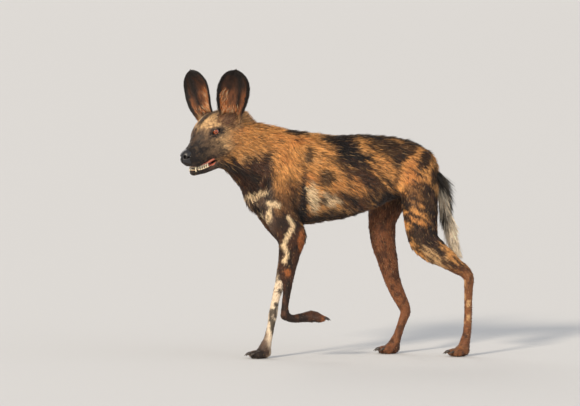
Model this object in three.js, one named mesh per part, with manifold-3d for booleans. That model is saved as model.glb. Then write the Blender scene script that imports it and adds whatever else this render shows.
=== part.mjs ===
// African wild dog, still and life-size: trotting pose, left foreleg raised, head turned to its left.
// Millimetres, +Z up. The dog looks along -X, its left side is on -Y, and its feet stand on Z = 0.
import * as THREE from 'three';
import { mergeVertices } from 'three/addons/utils/BufferGeometryUtils.js';
import Module from 'manifold-3d';

const wasm = await Module();
wasm.setup();

const JOINT_GAP = 0.3;
const CENTRE_X = -16.3;
const CENTRE_Y = -0.9;
const BLEND_LIMB = 26;
const BLEND_HEAD = 16;
const BLEND_TOE = 6;
const FAR = 2000;
const CURVE_STEPS = 3;
const MERGE = 0.004;
const CELL_FACTORS = [1, 0.97, 1.03, 0.94, 1.06, 0.91, 0.88];

// Body stations: x, y, z of the middle, then half-height and half-width of the section.
const TORSO = [
  [-205, 0, 520, 92, 62],
  [-150, 0, 528, 145, 84],
  [-70, 0, 538, 142, 97],
  [20, 0, 539, 131, 100],
  [102, 0, 552, 120, 92],
  [170, 0, 564, 104, 84],
  [230, 0, 569, 88, 80],
  [280, 0, 567, 66, 62],
  [305, 0, 562, 48, 42],
];
const NECK = [
  [-130, 0, 572, 102, 78],
  [-190, -2, 600, 102, 74],
  [-240, -8, 621, 94, 66],
  [-285, -15, 636, 80, 62],
  [-320, -20, 650, 70, 60],
];
const THROAT = [
  [-322, -22, 602, 24, 34],
  [-286, -15, 576, 24, 39],
  [-246, -7, 549, 26, 43],
  [-210, 0, 512, 30, 46],
];
const BREAST = { at: [-205, 0, 478], size: [32, 44, 42] };
const FORELEG_LEFT = [
  [-125, -50, 630, 40, 26],
  [-160, -64, 540, 54, 34],
  [-176, -70, 462, 52, 38],
  [-152, -75, 410, 51, 36],
  [-130, -78, 368, 48, 33],
  [-133, -77, 340, 40, 29],
  [-137, -76, 312, 33, 26],
  [-145, -75, 262, 27, 22],
  [-142, -74, 228, 17, 17],
  [-145, -73, 195, 13.5, 14.5],
  [-150, -72, 160, 12.5, 14],
  [-149, -71, 136, 15, 16],
];
const FOREFOOT_LEFT = [
  [-149, -71, 132, 15, 16],
  [-128, -70, 123, 14, 17],
  [-98, -69, 125, 16, 20],
  [-68, -68, 128, 20, 25],
  [-54, -68, 127, 18, 23],
];
const FORELEG_RIGHT = [
  [-125, 50, 630, 40, 26],
  [-154, 64, 540, 52, 34],
  [-164, 68, 462, 50, 38],
  [-134, 70, 410, 48, 35],
  [-102, 64, 362, 42, 31],
  [-106, 53, 320, 31, 26],
  [-122, 41, 265, 23, 21],
  [-140, 30, 215, 16, 17],
  [-155, 22, 168, 13.5, 15],
  [-163, 17, 130, 15.5, 17],
  [-171, 12, 95, 13, 15.5],
  [-181, 8, 58, 14.5, 18],
  [-190, 6, 34, 19, 22],
];
const HINDLEG_LEFT = [
  [250, -42, 586, 62, 30],
  [268, -58, 520, 62, 40],
  [270, -66, 450, 58, 41],
  [272, -72, 400, 53, 39],
  [280, -76, 352, 48, 35],
  [308, -78, 322, 42, 31],
  [345, -79, 298, 33, 24],
  [380, -80, 272, 25, 18],
  [405, -80, 256, 21, 16],
  [419, -80, 236, 18, 15],
  [419, -80, 205, 15.5, 13.5],
  [418, -80, 155, 14, 13],
  [417, -80, 110, 14, 13.5],
  [414, -80, 70, 14.5, 15.5],
  [406, -80, 36, 18, 21],
];
const HINDLEG_RIGHT = [
  [242, 42, 586, 62, 30],
  [236, 60, 520, 66, 40],
  [205, 68, 455, 58, 41],
  [193, 72, 400, 46, 38],
  [194, 74, 368, 43, 35],
  [197, 75, 338, 40, 32],
  [210, 75, 285, 33, 26],
  [223, 75, 231, 27, 20],
  [241, 75, 185, 24, 17],
  [259, 75, 150, 21, 16],
  [267, 75, 127, 18, 16],
  [261, 75, 106, 16, 14.5],
  [252, 75, 82, 14.5, 14],
  [243, 75, 56, 15, 16],
  [233, 75, 34, 18, 21],
];
const TAIL = [
  [298, 0, 590, 24, 23],
  [322, 0, 566, 21, 20],
  [343, -2, 534, 18, 18],
  [356, -4, 500, 16, 16],
  [363, -6, 462, 15, 15],
];
const BRUSH = [
  [360, -5, 480, 15, 15],
  [366, -7, 440, 17, 17],
  [376, -9, 400, 18, 18],
  [386, -11, 358, 14, 14],
  [394, -13, 330, 7, 7],
];

// The head has a frame of its own: forward along the muzzle, left, and up, from between the eyes.
const HEAD_AT = [-369, -28, 676];
const HEAD_YAW = 27;
const HEAD_PITCH = 19;
const SKULL = [
  [-95, 0, -19, 63, 60],
  [-55, 0, -17, 73, 66],
  [-20, 0, -20, 78, 64],
  [8, 0, -21, 69, 53],
  [30, 0, -28, 54, 42],
  [50, 0, -34, 43, 36],
  [75, 0, -39, 35, 30],
  [98, 0, -40, 28, 26],
  [107, 0, -39, 22, 21.5],
];
const JAW = [
  [-25, 0, -77, 26, 46],
  [15, 0, -86, 20, 37],
  [54, 0, -91, 14, 27],
  [80, 0, -89, 12, 21],
  [96, 0, -87, 11, 15.5],
];
const CHEEK = { at: [-14, 40, -40], size: [44, 29, 40] };
const BROW = { at: [3, 31, 18], size: [21, 18, 12] };
const NOSE = { at: [107, 0, -28], size: [16, 18, 15] };
const EYE_AT = [9, 41, 11];
const EYE_RADIUS = 12;
const LID_OPENING = [10.5, 7.5];
const LID_THICK = 2.2;
const MOUTH_UPPER = [[6, -70.6], [22, -71.6], [40, -74], [60, -77], [80, -76.5], [99, -69], [114, -62]];
const MOUTH_LOWER = [[6, -71], [22, -77.5], [40, -81], [60, -84], [80, -83.5], [99, -79.5], [114, -77]];
const JAW_BACK = [-14, -150];
const TOOTH_SPOTS = 7;

const EAR_AT = [-46, 48, 22];
const EAR_WIDTH = 52;
const EAR_THICK = 4.5;
const EAR_START = 0.1;
const EAR_LEFT = { axis: [-28, 46, 142], turn: 40 };
const EAR_RIGHT = { axis: [8, -42, 150], turn: 12 };
const EAR_STEPS = [10, 9];

const TOE_SIZE = [18, 9.5, 13.5];
const TOE_SPREAD = [9, 22];
const TOE_SET_BACK = 9;
const PAD_SIZE = [26, 23, 20];
const CLAW_LENGTH = 15;

// Cuts between neighbouring pieces: a point on the cut, and the way out of the body.
const CUT_NECK = { at: [-190, 0, 585], out: [-0.85, 0, 0.53] };
const CUT_HEAD = { at: [-86, 0, 40], out: [0.887, 0, 0.462] };
const CUT_ELBOW = 368;
const CUT_THIGH = 430;
const BELLY_END = 112;
const CUT_WRIST_LEFT = { at: [-150, -72, 160], out: [0, 0, -1] };
const CUT_WRIST_RIGHT = { at: [-160, 20, 142], out: [-0.2, -0.15, -0.97] };
const CUT_HOCK_LEFT = { at: [396, -80, 262], out: [0.8, 0, -0.6] };
const CUT_HOCK_RIGHT = { at: [257, 75, 156], out: [0.5, 0, -0.87] };
const CUT_DOCK = { at: [322, 0, 566], out: [0.5, 0, -0.87] };
const CUT_BRUSH = { at: [358, -5, 492], out: [0.17, -0.05, -0.98] };

const CELL = { torso: 30, neck: 20, head: 13, leg: 17, foot: 10.5, tail: 14, brush: 12, nose: 7.5 };

// Long hair: locks of the throat and of the tail brush.
const SEED = 20261;
const RUFF = { rows: 6, across: 8, length: 58, width: 25, thick: 5.5, sink: 9 };
const TAIL_LOCKS = { rows: 6, across: 5, length: 84, width: 20, thick: 5, sink: 7 };

const COLOURS = {
  gold: { color: '#c98a4c', roughness: 0.9 },
  dark: { color: '#33241f', roughness: 0.9 },
  brown: { color: '#6d4227', roughness: 0.9 },
  muzzle: { color: '#3a2d2b', roughness: 0.85 },
  cream: { color: '#dcc4a0', roughness: 0.9 },
  nose: { color: '#1b1a1c', roughness: 0.45 },
  eye: { color: '#a8561c', roughness: 0.1 },
  tongue: { color: '#c4736a', roughness: 0.45 },
};

function seededRandom(seed) {
  let state = seed;
  return () => {
    state = (state * 1664525 + 1013904223) % 4294967296;
    return state / 4294967296;
  };
}

const vec = (p) => new THREE.Vector3(p[0], p[1], p[2]);

function headMatrix() {
  const yaw = THREE.MathUtils.degToRad(HEAD_YAW);
  const pitch = THREE.MathUtils.degToRad(HEAD_PITCH);
  const forward = new THREE.Vector3(-Math.cos(yaw) * Math.cos(pitch), -Math.sin(yaw) * Math.cos(pitch),
    -Math.sin(pitch));
  const left = new THREE.Vector3(Math.sin(yaw), -Math.cos(yaw), 0);
  const up = new THREE.Vector3().crossVectors(forward, left);
  return new THREE.Matrix4().makeBasis(forward, left, up).setPosition(vec(HEAD_AT));
}

const HEAD = headMatrix();
const TO_HEAD = HEAD.clone().invert();

// A chain of stations is smoothed into short segments, each with its own section axes.
function chain(stations) {
  const points = stations.map((s) => vec(s));
  const curve = new THREE.CatmullRomCurve3(points, false, 'centripetal');
  const last = stations.length - 1;
  const samples = [];
  for (let i = 0; i <= last * CURVE_STEPS; i += 1) {
    const u = i / (last * CURVE_STEPS);
    const k = Math.min(Math.floor(u * last), last - 1);
    const t = u * last - k;
    const ease = t * t * (3 - 2 * t);
    const blend = 0.5 * (t + ease);
    const mix = (j) => stations[k][j] * (1 - blend) + stations[k + 1][j] * blend;
    samples.push({ at: curve.getPoint(u), high: mix(3), wide: mix(4) });
  }
  const segments = [];
  for (let i = 0; i < samples.length - 1; i += 1) {
    const a = samples[i];
    const b = samples[i + 1];
    const along = b.at.clone().sub(a.at);
    const length = along.length();
    along.normalize();
    const side = new THREE.Vector3(0, 1, 0).addScaledVector(along, -along.y).normalize();
    const rise = new THREE.Vector3().crossVectors(along, side);
    segments.push({ a, b, along, side, rise, length });
  }
  return segments;
}

function segmentDistance(s, x, y, z) {
  const dx = x - s.a.at.x;
  const dy = y - s.a.at.y;
  const dz = z - s.a.at.z;
  const run = dx * s.along.x + dy * s.along.y + dz * s.along.z;
  const t = Math.min(1, Math.max(0, run / s.length));
  const high = s.a.high + (s.b.high - s.a.high) * t;
  const wide = s.a.wide + (s.b.wide - s.a.wide) * t;
  const end = Math.min(high, wide);
  const e = run - t * s.length;
  const n = dx * s.rise.x + dy * s.rise.y + dz * s.rise.z;
  const w = dx * s.side.x + dy * s.side.y + dz * s.side.z;
  return ellipsoidDistance(e, w, n, end, wide, high);
}

function ellipsoidDistance(x, y, z, a, b, c) {
  const k0 = Math.hypot(x / a, y / b, z / c);
  const k1 = Math.hypot(x / (a * a), y / (b * b), z / (c * c));
  return k1 > 1e-9 ? (k0 * (k0 - 1)) / k1 : -Math.min(a, b, c);
}

function chainDistance(segments, x, y, z) {
  let least = Infinity;
  for (const s of segments) least = Math.min(least, segmentDistance(s, x, y, z));
  return least;
}

function lump(shape, x, y, z) {
  const [a, b, c] = shape.size;
  return ellipsoidDistance(x - shape.at[0], y - shape.at[1], z - shape.at[2], a, b, c);
}

function blend(a, b, k) {
  const h = Math.max(k - Math.abs(a - b), 0) / k;
  return Math.min(a, b) - (h * h * k) / 4;
}

const torsoChain = chain(TORSO);
const neckChain = chain(NECK);
const throatChain = chain(THROAT);
const skullChain = chain(SKULL);
const jawChain = chain(JAW);
const legChains = [FORELEG_LEFT, FORELEG_RIGHT, HINDLEG_LEFT, HINDLEG_RIGHT].map(chain);
const leftFootChain = chain(FOREFOOT_LEFT);
const tailChain = chain(TAIL);
const brushChain = chain(BRUSH);

// The toes of one foot: their middle, and the way that they point along X.
const FEET = [
  { name: 'forefoot_right', at: [-196, 6, 14], way: -1, lift: 0 },
  { name: 'hindfoot_left', at: [398, -80, 14], way: -1, lift: 0 },
  { name: 'hindfoot_right', at: [225, 75, 14], way: -1, lift: 0 },
  { name: 'forefoot_left', at: [-66, -68, 123], way: 1, lift: 1 },
];

function toes(foot) {
  const made = [];
  for (const side of [-1, 1]) {
    TOE_SPREAD.forEach((spread, k) => {
      const reach = PAD_SIZE[0] + 1 - k * TOE_SET_BACK;
      const drop = foot.lift ? -1 : -2;
      made.push({
        at: [foot.at[0] + foot.way * reach, foot.at[1] + side * spread, foot.at[2] + drop],
        size: TOE_SIZE,
      });
    });
  }
  return made;
}

function footDistance(foot, x, y, z) {
  const pad = { at: [foot.at[0], foot.at[1], foot.at[2] + 3], size: PAD_SIZE };
  let d = foot.lift ? FAR : lump(pad, x, y, z);
  for (const toe of toes(foot)) d = blend(d, lump(toe, x, y, z), BLEND_TOE);
  return d;
}

function headDistance(p) {
  const q = p.clone().applyMatrix4(TO_HEAD);
  let d = blend(chainDistance(skullChain, q.x, q.y, q.z), chainDistance(jawChain, q.x, q.y, q.z), 10);
  d = blend(d, lump(CHEEK, q.x, Math.abs(q.y), q.z), BLEND_HEAD);
  d = blend(d, lump(BROW, q.x, Math.abs(q.y), q.z), 8);
  d = blend(d, lump(NOSE, q.x, q.y, q.z), 6);
  for (const [ear, side] of [[EAR_LEFT, 1], [EAR_RIGHT, -1]]) {
    const foot = earFrame(ear, side);
    const r = q.clone().applyMatrix4(foot.inverse);
    d = blend(d, ellipsoidDistance(r.x + 5, r.y, r.z, 22, 34, 27), 12);
  }
  return d;
}

// Chest, neck, throat and head, without the limbs.
function foreDistance(p) {
  const { x, y, z } = p;
  let d = chainDistance(torsoChain, x, y, z);
  d = blend(d, lump(BREAST, x, y, z), 30);
  d = blend(d, chainDistance(neckChain, x, y, z), 40);
  d = blend(d, chainDistance(throatChain, x, y, z), 24);
  return blend(d, headDistance(p), 22);
}

function bodyDistance(p) {
  const { x, y, z } = p;
  let d = foreDistance(p);
  for (const leg of legChains) d = blend(d, chainDistance(leg, x, y, z), BLEND_LIMB);
  d = blend(d, chainDistance(leftFootChain, x, y, z), 6);
  for (const foot of FEET) d = blend(d, footDistance(foot, x, y, z), 10);
  return blend(d, chainDistance(tailChain.slice(0, 2), x, y, z), 12);
}

// An ear's own frame: z along the ear, x the way that its cup opens, y across it.
function earFrame(ear, side) {
  const axis = vec(ear.axis).normalize();
  const turn = THREE.MathUtils.degToRad(ear.turn);
  const open = new THREE.Vector3(Math.cos(turn), Math.sin(turn), 0);
  open.addScaledVector(axis, -open.dot(axis)).normalize();
  const across = new THREE.Vector3().crossVectors(axis, open);
  const place = new THREE.Vector3(EAR_AT[0], EAR_AT[1] * side, EAR_AT[2]);
  const matrix = new THREE.Matrix4().makeBasis(open, across, axis).setPosition(place);
  return { matrix, inverse: matrix.clone().invert(), length: vec(ear.axis).length() };
}

// Surface nets: one vertex in each cell that the surface crosses, moved onto the surface.
function polygonise(field, low, high, cell) {
  const count = [0, 1, 2].map((k) => Math.ceil((high[k] - low[k]) / cell) + 1);
  const id = (i, j, k) => (i * count[1] + j) * count[2] + k;
  const values = new Float64Array(count[0] * count[1] * count[2]);
  const p = new THREE.Vector3();
  for (let i = 0; i < count[0]; i += 1) {
    for (let j = 0; j < count[1]; j += 1) {
      for (let k = 0; k < count[2]; k += 1) {
        p.set(low[0] + i * cell, low[1] + j * cell, low[2] + k * cell);
        const edge = [i, j, k].some((n, axis) => n === 0 || n === count[axis] - 1);
        values[id(i, j, k)] = edge ? FAR : field(p);
      }
    }
  }
  const vertices = [];
  const cellVertex = new Int32Array(values.length).fill(-1);
  for (let i = 0; i < count[0] - 1; i += 1) {
    for (let j = 0; j < count[1] - 1; j += 1) {
      for (let k = 0; k < count[2] - 1; k += 1) {
        const v = cellPoint(values, id, i, j, k);
        if (!v) continue;
        p.set(low[0] + v[0] * cell, low[1] + v[1] * cell, low[2] + v[2] * cell);
        cellVertex[id(i, j, k)] = vertices.length / 3;
        onSurface(field, p, cell);
        vertices.push(p.x, p.y, p.z);
      }
    }
  }
  const faces = [];
  const quad = (a, b, c, d, flip) => {
    if (flip) faces.push(a, c, b, a, d, c);
    else faces.push(a, b, c, a, c, d);
  };
  for (let i = 0; i < count[0] - 1; i += 1) {
    for (let j = 0; j < count[1] - 1; j += 1) {
      for (let k = 0; k < count[2] - 1; k += 1) {
        const inside = values[id(i, j, k)] < 0;
        const at = (a, b, c) => cellVertex[id(i - a, j - b, k - c)];
        if (inside !== values[id(i + 1, j, k)] < 0) quad(at(0, 1, 1), at(0, 0, 1), at(0, 0, 0), at(0, 1, 0), !inside);
        if (inside !== values[id(i, j + 1, k)] < 0) quad(at(1, 0, 1), at(1, 0, 0), at(0, 0, 0), at(0, 0, 1), !inside);
        if (inside !== values[id(i, j, k + 1)] < 0) quad(at(1, 1, 0), at(0, 1, 0), at(0, 0, 0), at(1, 0, 0), !inside);
      }
    }
  }
  return { vertices, faces };
}

// The middle of the places where the surface crosses a cell's edges, in cells.
function cellPoint(values, id, i, j, k) {
  const corner = [];
  for (let n = 0; n < 8; n += 1) corner.push(values[id(i + (n & 1), j + ((n >> 1) & 1), k + (n >> 2))]);
  const sum = [0, 0, 0];
  let crossings = 0;
  for (let n = 0; n < 8; n += 1) {
    for (const bit of [1, 2, 4]) {
      if (n & bit || corner[n] < 0 === corner[n | bit] < 0) continue;
      const t = corner[n] / (corner[n] - corner[n | bit]);
      sum[0] += (n & 1) + (bit === 1 ? t : 0);
      sum[1] += ((n >> 1) & 1) + (bit === 2 ? t : 0);
      sum[2] += (n >> 2) + (bit === 4 ? t : 0);
      crossings += 1;
    }
  }
  return crossings ? [i + sum[0] / crossings, j + sum[1] / crossings, k + sum[2] / crossings] : null;
}

function slope(field, p) {
  const step = 0.5;
  const q = p.clone();
  const g = new THREE.Vector3();
  for (const axis of ['x', 'y', 'z']) {
    q[axis] = p[axis] + step;
    const more = field(q);
    q[axis] = p[axis] - step;
    g[axis] = (more - field(q)) / (2 * step);
    q[axis] = p[axis];
  }
  return g;
}

function onSurface(field, p, cell) {
  const start = p.clone();
  for (let n = 0; n < 3; n += 1) {
    const g = slope(field, p);
    const move = field(p) / Math.max(g.lengthSq(), 0.2);
    p.addScaledVector(g, -THREE.MathUtils.clamp(move, -0.4 * cell, 0.4 * cell));
  }
  const away = p.clone().sub(start).clampLength(0, 0.45 * cell);
  p.copy(start).add(away);
}

function solid(vertices, faces) {
  return new wasm.Manifold(new wasm.Mesh({
    numProp: 3,
    vertProperties: Float32Array.from(vertices),
    triVerts: Uint32Array.from(faces),
  }));
}

// Whether two faces run along the same edge the same way, where the surface touches itself.
function pinched(faces) {
  const edges = new Set();
  for (let i = 0; i < faces.length; i += 3) {
    for (let k = 0; k < 3; k += 1) {
      const edge = `${faces[i + k]} ${faces[i + ((k + 1) % 3)]}`;
      if (edges.has(edge)) return true;
      edges.add(edge);
    }
  }
  return false;
}

// A coarse grid can pinch the surface at an edge, so a few near cell sizes are tried in turn.
function body(field, low, high, cell) {
  for (const factor of CELL_FACTORS) {
    const { vertices, faces } = polygonise(field, low, high, cell * factor);
    if (!pinched(faces)) return solid(vertices, faces);
  }
  throw new Error('no closed surface was found');
}

function fromGeometry(geometry) {
  const bare = geometry.index ? geometry.clone() : geometry;
  bare.deleteAttribute('normal');
  bare.deleteAttribute('uv');
  const merged = mergeVertices(bare, 1e-4);
  return solid(merged.attributes.position.array, merged.index.array);
}

function toGeometry(shape) {
  const mesh = shape.getMesh();
  const geometry = new THREE.BufferGeometry();
  geometry.setAttribute('position', new THREE.BufferAttribute(mesh.vertProperties, 3));
  geometry.setIndex(new THREE.BufferAttribute(mesh.triVerts, 1));
  const merged = mergeVertices(geometry, MERGE);
  merged.setIndex(wholeFaces(Array.from(merged.index.array)));
  merged.computeVertexNormals();
  return merged;
}

// The faces that keep three different corners once near vertices are one.
function wholeFaces(index) {
  const kept = [];
  for (let i = 0; i < index.length; i += 3) {
    const [a, b, c] = index.slice(i, i + 3);
    if (a !== b && b !== c && c !== a) kept.push(a, b, c);
  }
  return kept;
}

// Everything beyond a plane, out along its normal, as one large box.
function beyond(cut, gap = 0) {
  const out = vec(cut.out).normalize();
  const turn = new THREE.Quaternion().setFromUnitVectors(new THREE.Vector3(0, 0, 1), out);
  const box = new THREE.BoxGeometry(FAR, FAR, FAR).translate(0, 0, FAR / 2 - gap);
  box.applyQuaternion(turn);
  box.translate(cut.at[0], cut.at[1], cut.at[2]);
  return fromGeometry(box);
}

function block(low, high) {
  const size = [0, 1, 2].map((k) => high[k] - low[k]);
  const box = new THREE.BoxGeometry(...size);
  box.translate((low[0] + high[0]) / 2, (low[1] + high[1]) / 2, (low[2] + high[2]) / 2);
  return fromGeometry(box);
}

const backSide = (cut) => ({ at: cut.at, out: cut.out.map((n) => -n) });

// What lies on the near side of a cut, and what lies past it, with half of the gap taken from each.
const before = (shape, cut) => shape.subtract(beyond(cut, JOINT_GAP / 2));
const after = (shape, cut) => shape.subtract(beyond(backSide(cut), JOINT_GAP / 2));

function largest(shape) {
  const pieces = shape.decompose();
  pieces.sort((a, b) => b.volume() - a.volume());
  return pieces[0];
}

const headBackCut = {
  at: vec(CUT_HEAD.at).applyMatrix4(HEAD).toArray(),
  out: vec(CUT_HEAD.out).transformDirection(HEAD).toArray(),
};
const floorCut = { at: [0, 0, 0], out: [0, 0, -1] };
const cut = (height) => ({ at: [0, 0, height], out: [0, 0, -1] });
const middleCut = { at: [0, 0, 0], out: [0, 1, 0] };

function torso() {
  let shape = body(bodyDistance, [-275, -150, 330], [365, 150, 730], CELL.torso);
  shape = before(shape, CUT_NECK);
  shape = before(shape, cut(CUT_ELBOW));
  const legs = block([BELLY_END, -FAR, 0], [FAR, FAR, CUT_THIGH + JOINT_GAP / 2]);
  const dock = beyond(CUT_DOCK, JOINT_GAP / 2).intersect(block([300, -36, 500], [FAR, 36, 640]));
  return largest(shape.subtract(legs).subtract(dock));
}

function neck() {
  let shape = body(bodyDistance, [-365, -130, 430], [-90, 120, 770], CELL.neck);
  shape = shape.add(ruff(foreDistance));
  shape = after(shape, CUT_NECK);
  return largest(before(shape, headBackCut));
}

// One flat, tapered, bending lock of hair from its root to its tip.
function lock(root, along, out, length, width, thick) {
  const rings = 3;
  const side = new THREE.Vector3().crossVectors(along, out).normalize();
  const vertices = [];
  const faces = [];
  const spot = root.clone();
  const way = along.clone();
  for (let i = 0; i < rings; i += 1) {
    const t = i / rings;
    const half = (width / 2) * Math.sqrt(1 - t * t) * (0.75 + 0.5 * t * (1 - t));
    const deep = (thick / 2) * (1 - 0.6 * t);
    const face = new THREE.Vector3().crossVectors(side, way).normalize();
    for (const [a, b] of [[1, 0], [0, 1], [-1, 0], [0, -1]]) {
      vertices.push(...spot.clone().addScaledVector(side, a * half).addScaledVector(face, b * deep).toArray());
    }
    spot.addScaledVector(way, length / rings);
    way.addScaledVector(out, -0.1).normalize();
  }
  vertices.push(...spot.toArray());
  const tip = rings * 4;
  for (let k = 0; k < 4; k += 1) {
    const next = (k + 1) % 4;
    for (let i = 0; i < rings - 1; i += 1) {
      const a = i * 4;
      faces.push(a + k, a + next, a + 4 + next, a + k, a + 4 + next, a + 4 + k);
    }
    faces.push(tip - 4 + k, tip - 4 + next, tip);
  }
  faces.push(0, 2, 1, 0, 3, 2);
  const volume = signedVolume(vertices, faces);
  if (volume < 0) {
    for (let i = 0; i < faces.length; i += 3) [faces[i + 1], faces[i + 2]] = [faces[i + 2], faces[i + 1]];
  }
  return solid(vertices, faces);
}

function signedVolume(v, f) {
  let sum = 0;
  const at = (n) => new THREE.Vector3(v[3 * n], v[3 * n + 1], v[3 * n + 2]);
  for (let i = 0; i < f.length; i += 3) sum += at(f[i]).dot(at(f[i + 1]).cross(at(f[i + 2])));
  return sum;
}

// Where a ray from inside leaves the surface of a field.
function surfaceAlong(field, start, way, reach) {
  let low = 0;
  let high = reach;
  for (let n = 0; n < 24; n += 1) {
    const middle = (low + high) / 2;
    if (field(start.clone().addScaledVector(way, middle)) < 0) low = middle;
    else high = middle;
  }
  return start.clone().addScaledVector(way, low);
}

function ruff(field) {
  const random = seededRandom(SEED);
  const from = new THREE.Vector3(-322, -20, 622);
  const to = new THREE.Vector3(-212, -2, 560);
  const down = to.clone().sub(from).normalize();
  const side = new THREE.Vector3(0, 1, 0);
  const under = new THREE.Vector3().crossVectors(side, down).normalize();
  if (under.z > 0) under.negate();
  const locks = [];
  for (let row = 0; row < RUFF.rows; row += 1) {
    const t = (row + 0.35) / RUFF.rows;
    for (let k = 0; k < RUFF.across; k += 1) {
      const shift = row % 2 ? 0.5 : 0;
      const angle = ((k + shift + 0.3 * random()) / RUFF.across - 0.5) * 3.9;
      const out = under.clone().multiplyScalar(Math.cos(angle)).addScaledVector(side, Math.sin(angle));
      const start = from.clone().lerp(to, t);
      const root = surfaceAlong(field, start, out, 150).addScaledVector(out, -RUFF.sink);
      const stand = 0.42 + 0.22 * Math.cos(angle);
      const along = down.clone().addScaledVector(out, stand).normalize();
      const size = 0.8 + 0.35 * random() + 0.2 * Math.cos(angle);
      locks.push(lock(root, along, out, RUFF.length * size, RUFF.width, RUFF.thick));
    }
  }
  return wasm.Manifold.union(locks);
}

function mouthPrism(outline, half = 90) {
  const shape = new THREE.Shape(outline.map(([a, c]) => new THREE.Vector2(a, c)));
  const geometry = new THREE.ExtrudeGeometry(shape, { depth: 2 * half, bevelEnabled: false });
  geometry.translate(0, 0, -half);
  geometry.rotateX(Math.PI / 2);
  return fromGeometry(geometry.applyMatrix4(HEAD));
}

const jawFloor = [[150, -81], [150, -150]];

function headBlank() {
  const shape = body(foreDistance, [-520, -165, 500], [-250, 115, 790], CELL.head);
  return after(shape, headBackCut);
}

const headShape = headBlank();

function earCut(ear, side) {
  const frame = earFrame(ear, side);
  const z = frame.length * EAR_START;
  const at = new THREE.Vector3(0, 0, z).applyMatrix4(frame.matrix).applyMatrix4(HEAD);
  const out = new THREE.Vector3(0, 0, 1).transformDirection(frame.matrix).transformDirection(HEAD);
  return { at: at.toArray(), out: out.toArray() };
}

function earNear(side) {
  const middle = vec([EAR_AT[0], EAR_AT[1] * side, EAR_AT[2] + 40]).applyMatrix4(HEAD).toArray();
  return block(middle.map((n) => n - 62), middle.map((n) => n + 90));
}

const nosePrism = (gap) => mouthPrism([
  [100.4 - gap, 10], [104.6 - gap, -22], [106.5 - gap, -51.3 - gap], [150, -51.3 - gap], [150, 10],
], 60);

function lidRing(side) {
  const ring = new THREE.TorusGeometry(1, 1, 5, 14);
  const position = ring.attributes.position;
  for (let i = 0; i < position.count; i += 1) {
    const p = new THREE.Vector3().fromBufferAttribute(position, i);
    const angle = Math.atan2(p.y, p.x);
    const out = Math.hypot(p.x, p.y) - 1;
    const x = Math.cos(angle) * (LID_OPENING[0] + LID_THICK * (0.6 + out));
    const y = Math.sin(angle) * (LID_OPENING[1] + LID_THICK * (0.6 + out));
    position.setXYZ(i, x, y, p.z * LID_THICK * 1.3);
  }
  return fromGeometry(ring.applyMatrix4(eyeMatrix(side)).applyMatrix4(HEAD));
}

// An eye's frame: z is the way that it looks, x along its opening.
function eyeMatrix(side, forward = 0) {
  const look = new THREE.Vector3(0.62, 0.78 * side, 0.06).normalize();
  const up = new THREE.Vector3(0.1, -0.1 * side, 1);
  const along = new THREE.Vector3().crossVectors(up, look).normalize();
  const rise = new THREE.Vector3().crossVectors(look, along);
  const place = new THREE.Vector3(EYE_AT[0], EYE_AT[1] * side, EYE_AT[2]);
  place.addScaledVector(look, 8.5 + forward);
  return new THREE.Matrix4().makeBasis(along, rise, look).setPosition(place);
}

function eyeBall(side, radius) {
  const ball = new THREE.SphereGeometry(radius, 12, 9);
  ball.applyMatrix4(new THREE.Matrix4().makeTranslation(0, 0, -8.5));
  return fromGeometry(ball.applyMatrix4(eyeMatrix(side)).applyMatrix4(HEAD));
}

function eyeOpening(side) {
  const opening = new THREE.SphereGeometry(1, 14, 8).scale(LID_OPENING[0], LID_OPENING[1], 14);
  return fromGeometry(opening.applyMatrix4(eyeMatrix(side)).applyMatrix4(HEAD));
}

function tooth(a, b, c, length, radius, up) {
  const cone = new THREE.ConeGeometry(radius, length, 5);
  cone.rotateX(up ? Math.PI / 2 : -Math.PI / 2);
  cone.translate(a, b, c);
  return fromGeometry(cone.applyMatrix4(HEAD));
}

// Teeth stand along both edges of the mouth: small ones in front, a long canine, then the side teeth.
function teeth(up) {
  const made = [];
  for (const side of [-1, 1]) {
    for (let k = 0; k < TOOTH_SPOTS; k += 1) {
      const canine = k === 2;
      const a = up ? 95 - k * 7 : 98 - k * 7;
      const b = side * (3 + Math.min(k, 3) * 5.2 + Math.max(k - 3, 0) * 1.2);
      const length = canine ? 17 : 11;
      const c = up ? -82 + Math.max(2 - k, 0) * 1.2 : -82 - Math.max(2 - k, 0) * 1.5;
      made.push(tooth(a, b, c + (up ? -1 : 4) * (canine ? 0.4 : 0), length, canine ? 4 : 3.2, up));
    }
  }
  return made;
}

function lip(points, side, radius) {
  const path = new THREE.CatmullRomCurve3(points.map(([a, c]) => {
    const p = new THREE.Vector3(a, side * 60, c).applyMatrix4(HEAD);
    const way = new THREE.Vector3(a, 0, c).applyMatrix4(HEAD).sub(p).normalize();
    const inner = new THREE.Vector3(a, 0, c).applyMatrix4(HEAD);
    return surfaceAlong((q) => headDistance(q), inner, way.negate(), 60);
  }));
  const ring = new THREE.Shape();
  ring.absellipse(0, 0, radius, radius, 0, 2 * Math.PI);
  const geometry = new THREE.ExtrudeGeometry(ring, { steps: 10, curveSegments: 3, extrudePath: path });
  return fromGeometry(geometry);
}

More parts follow.
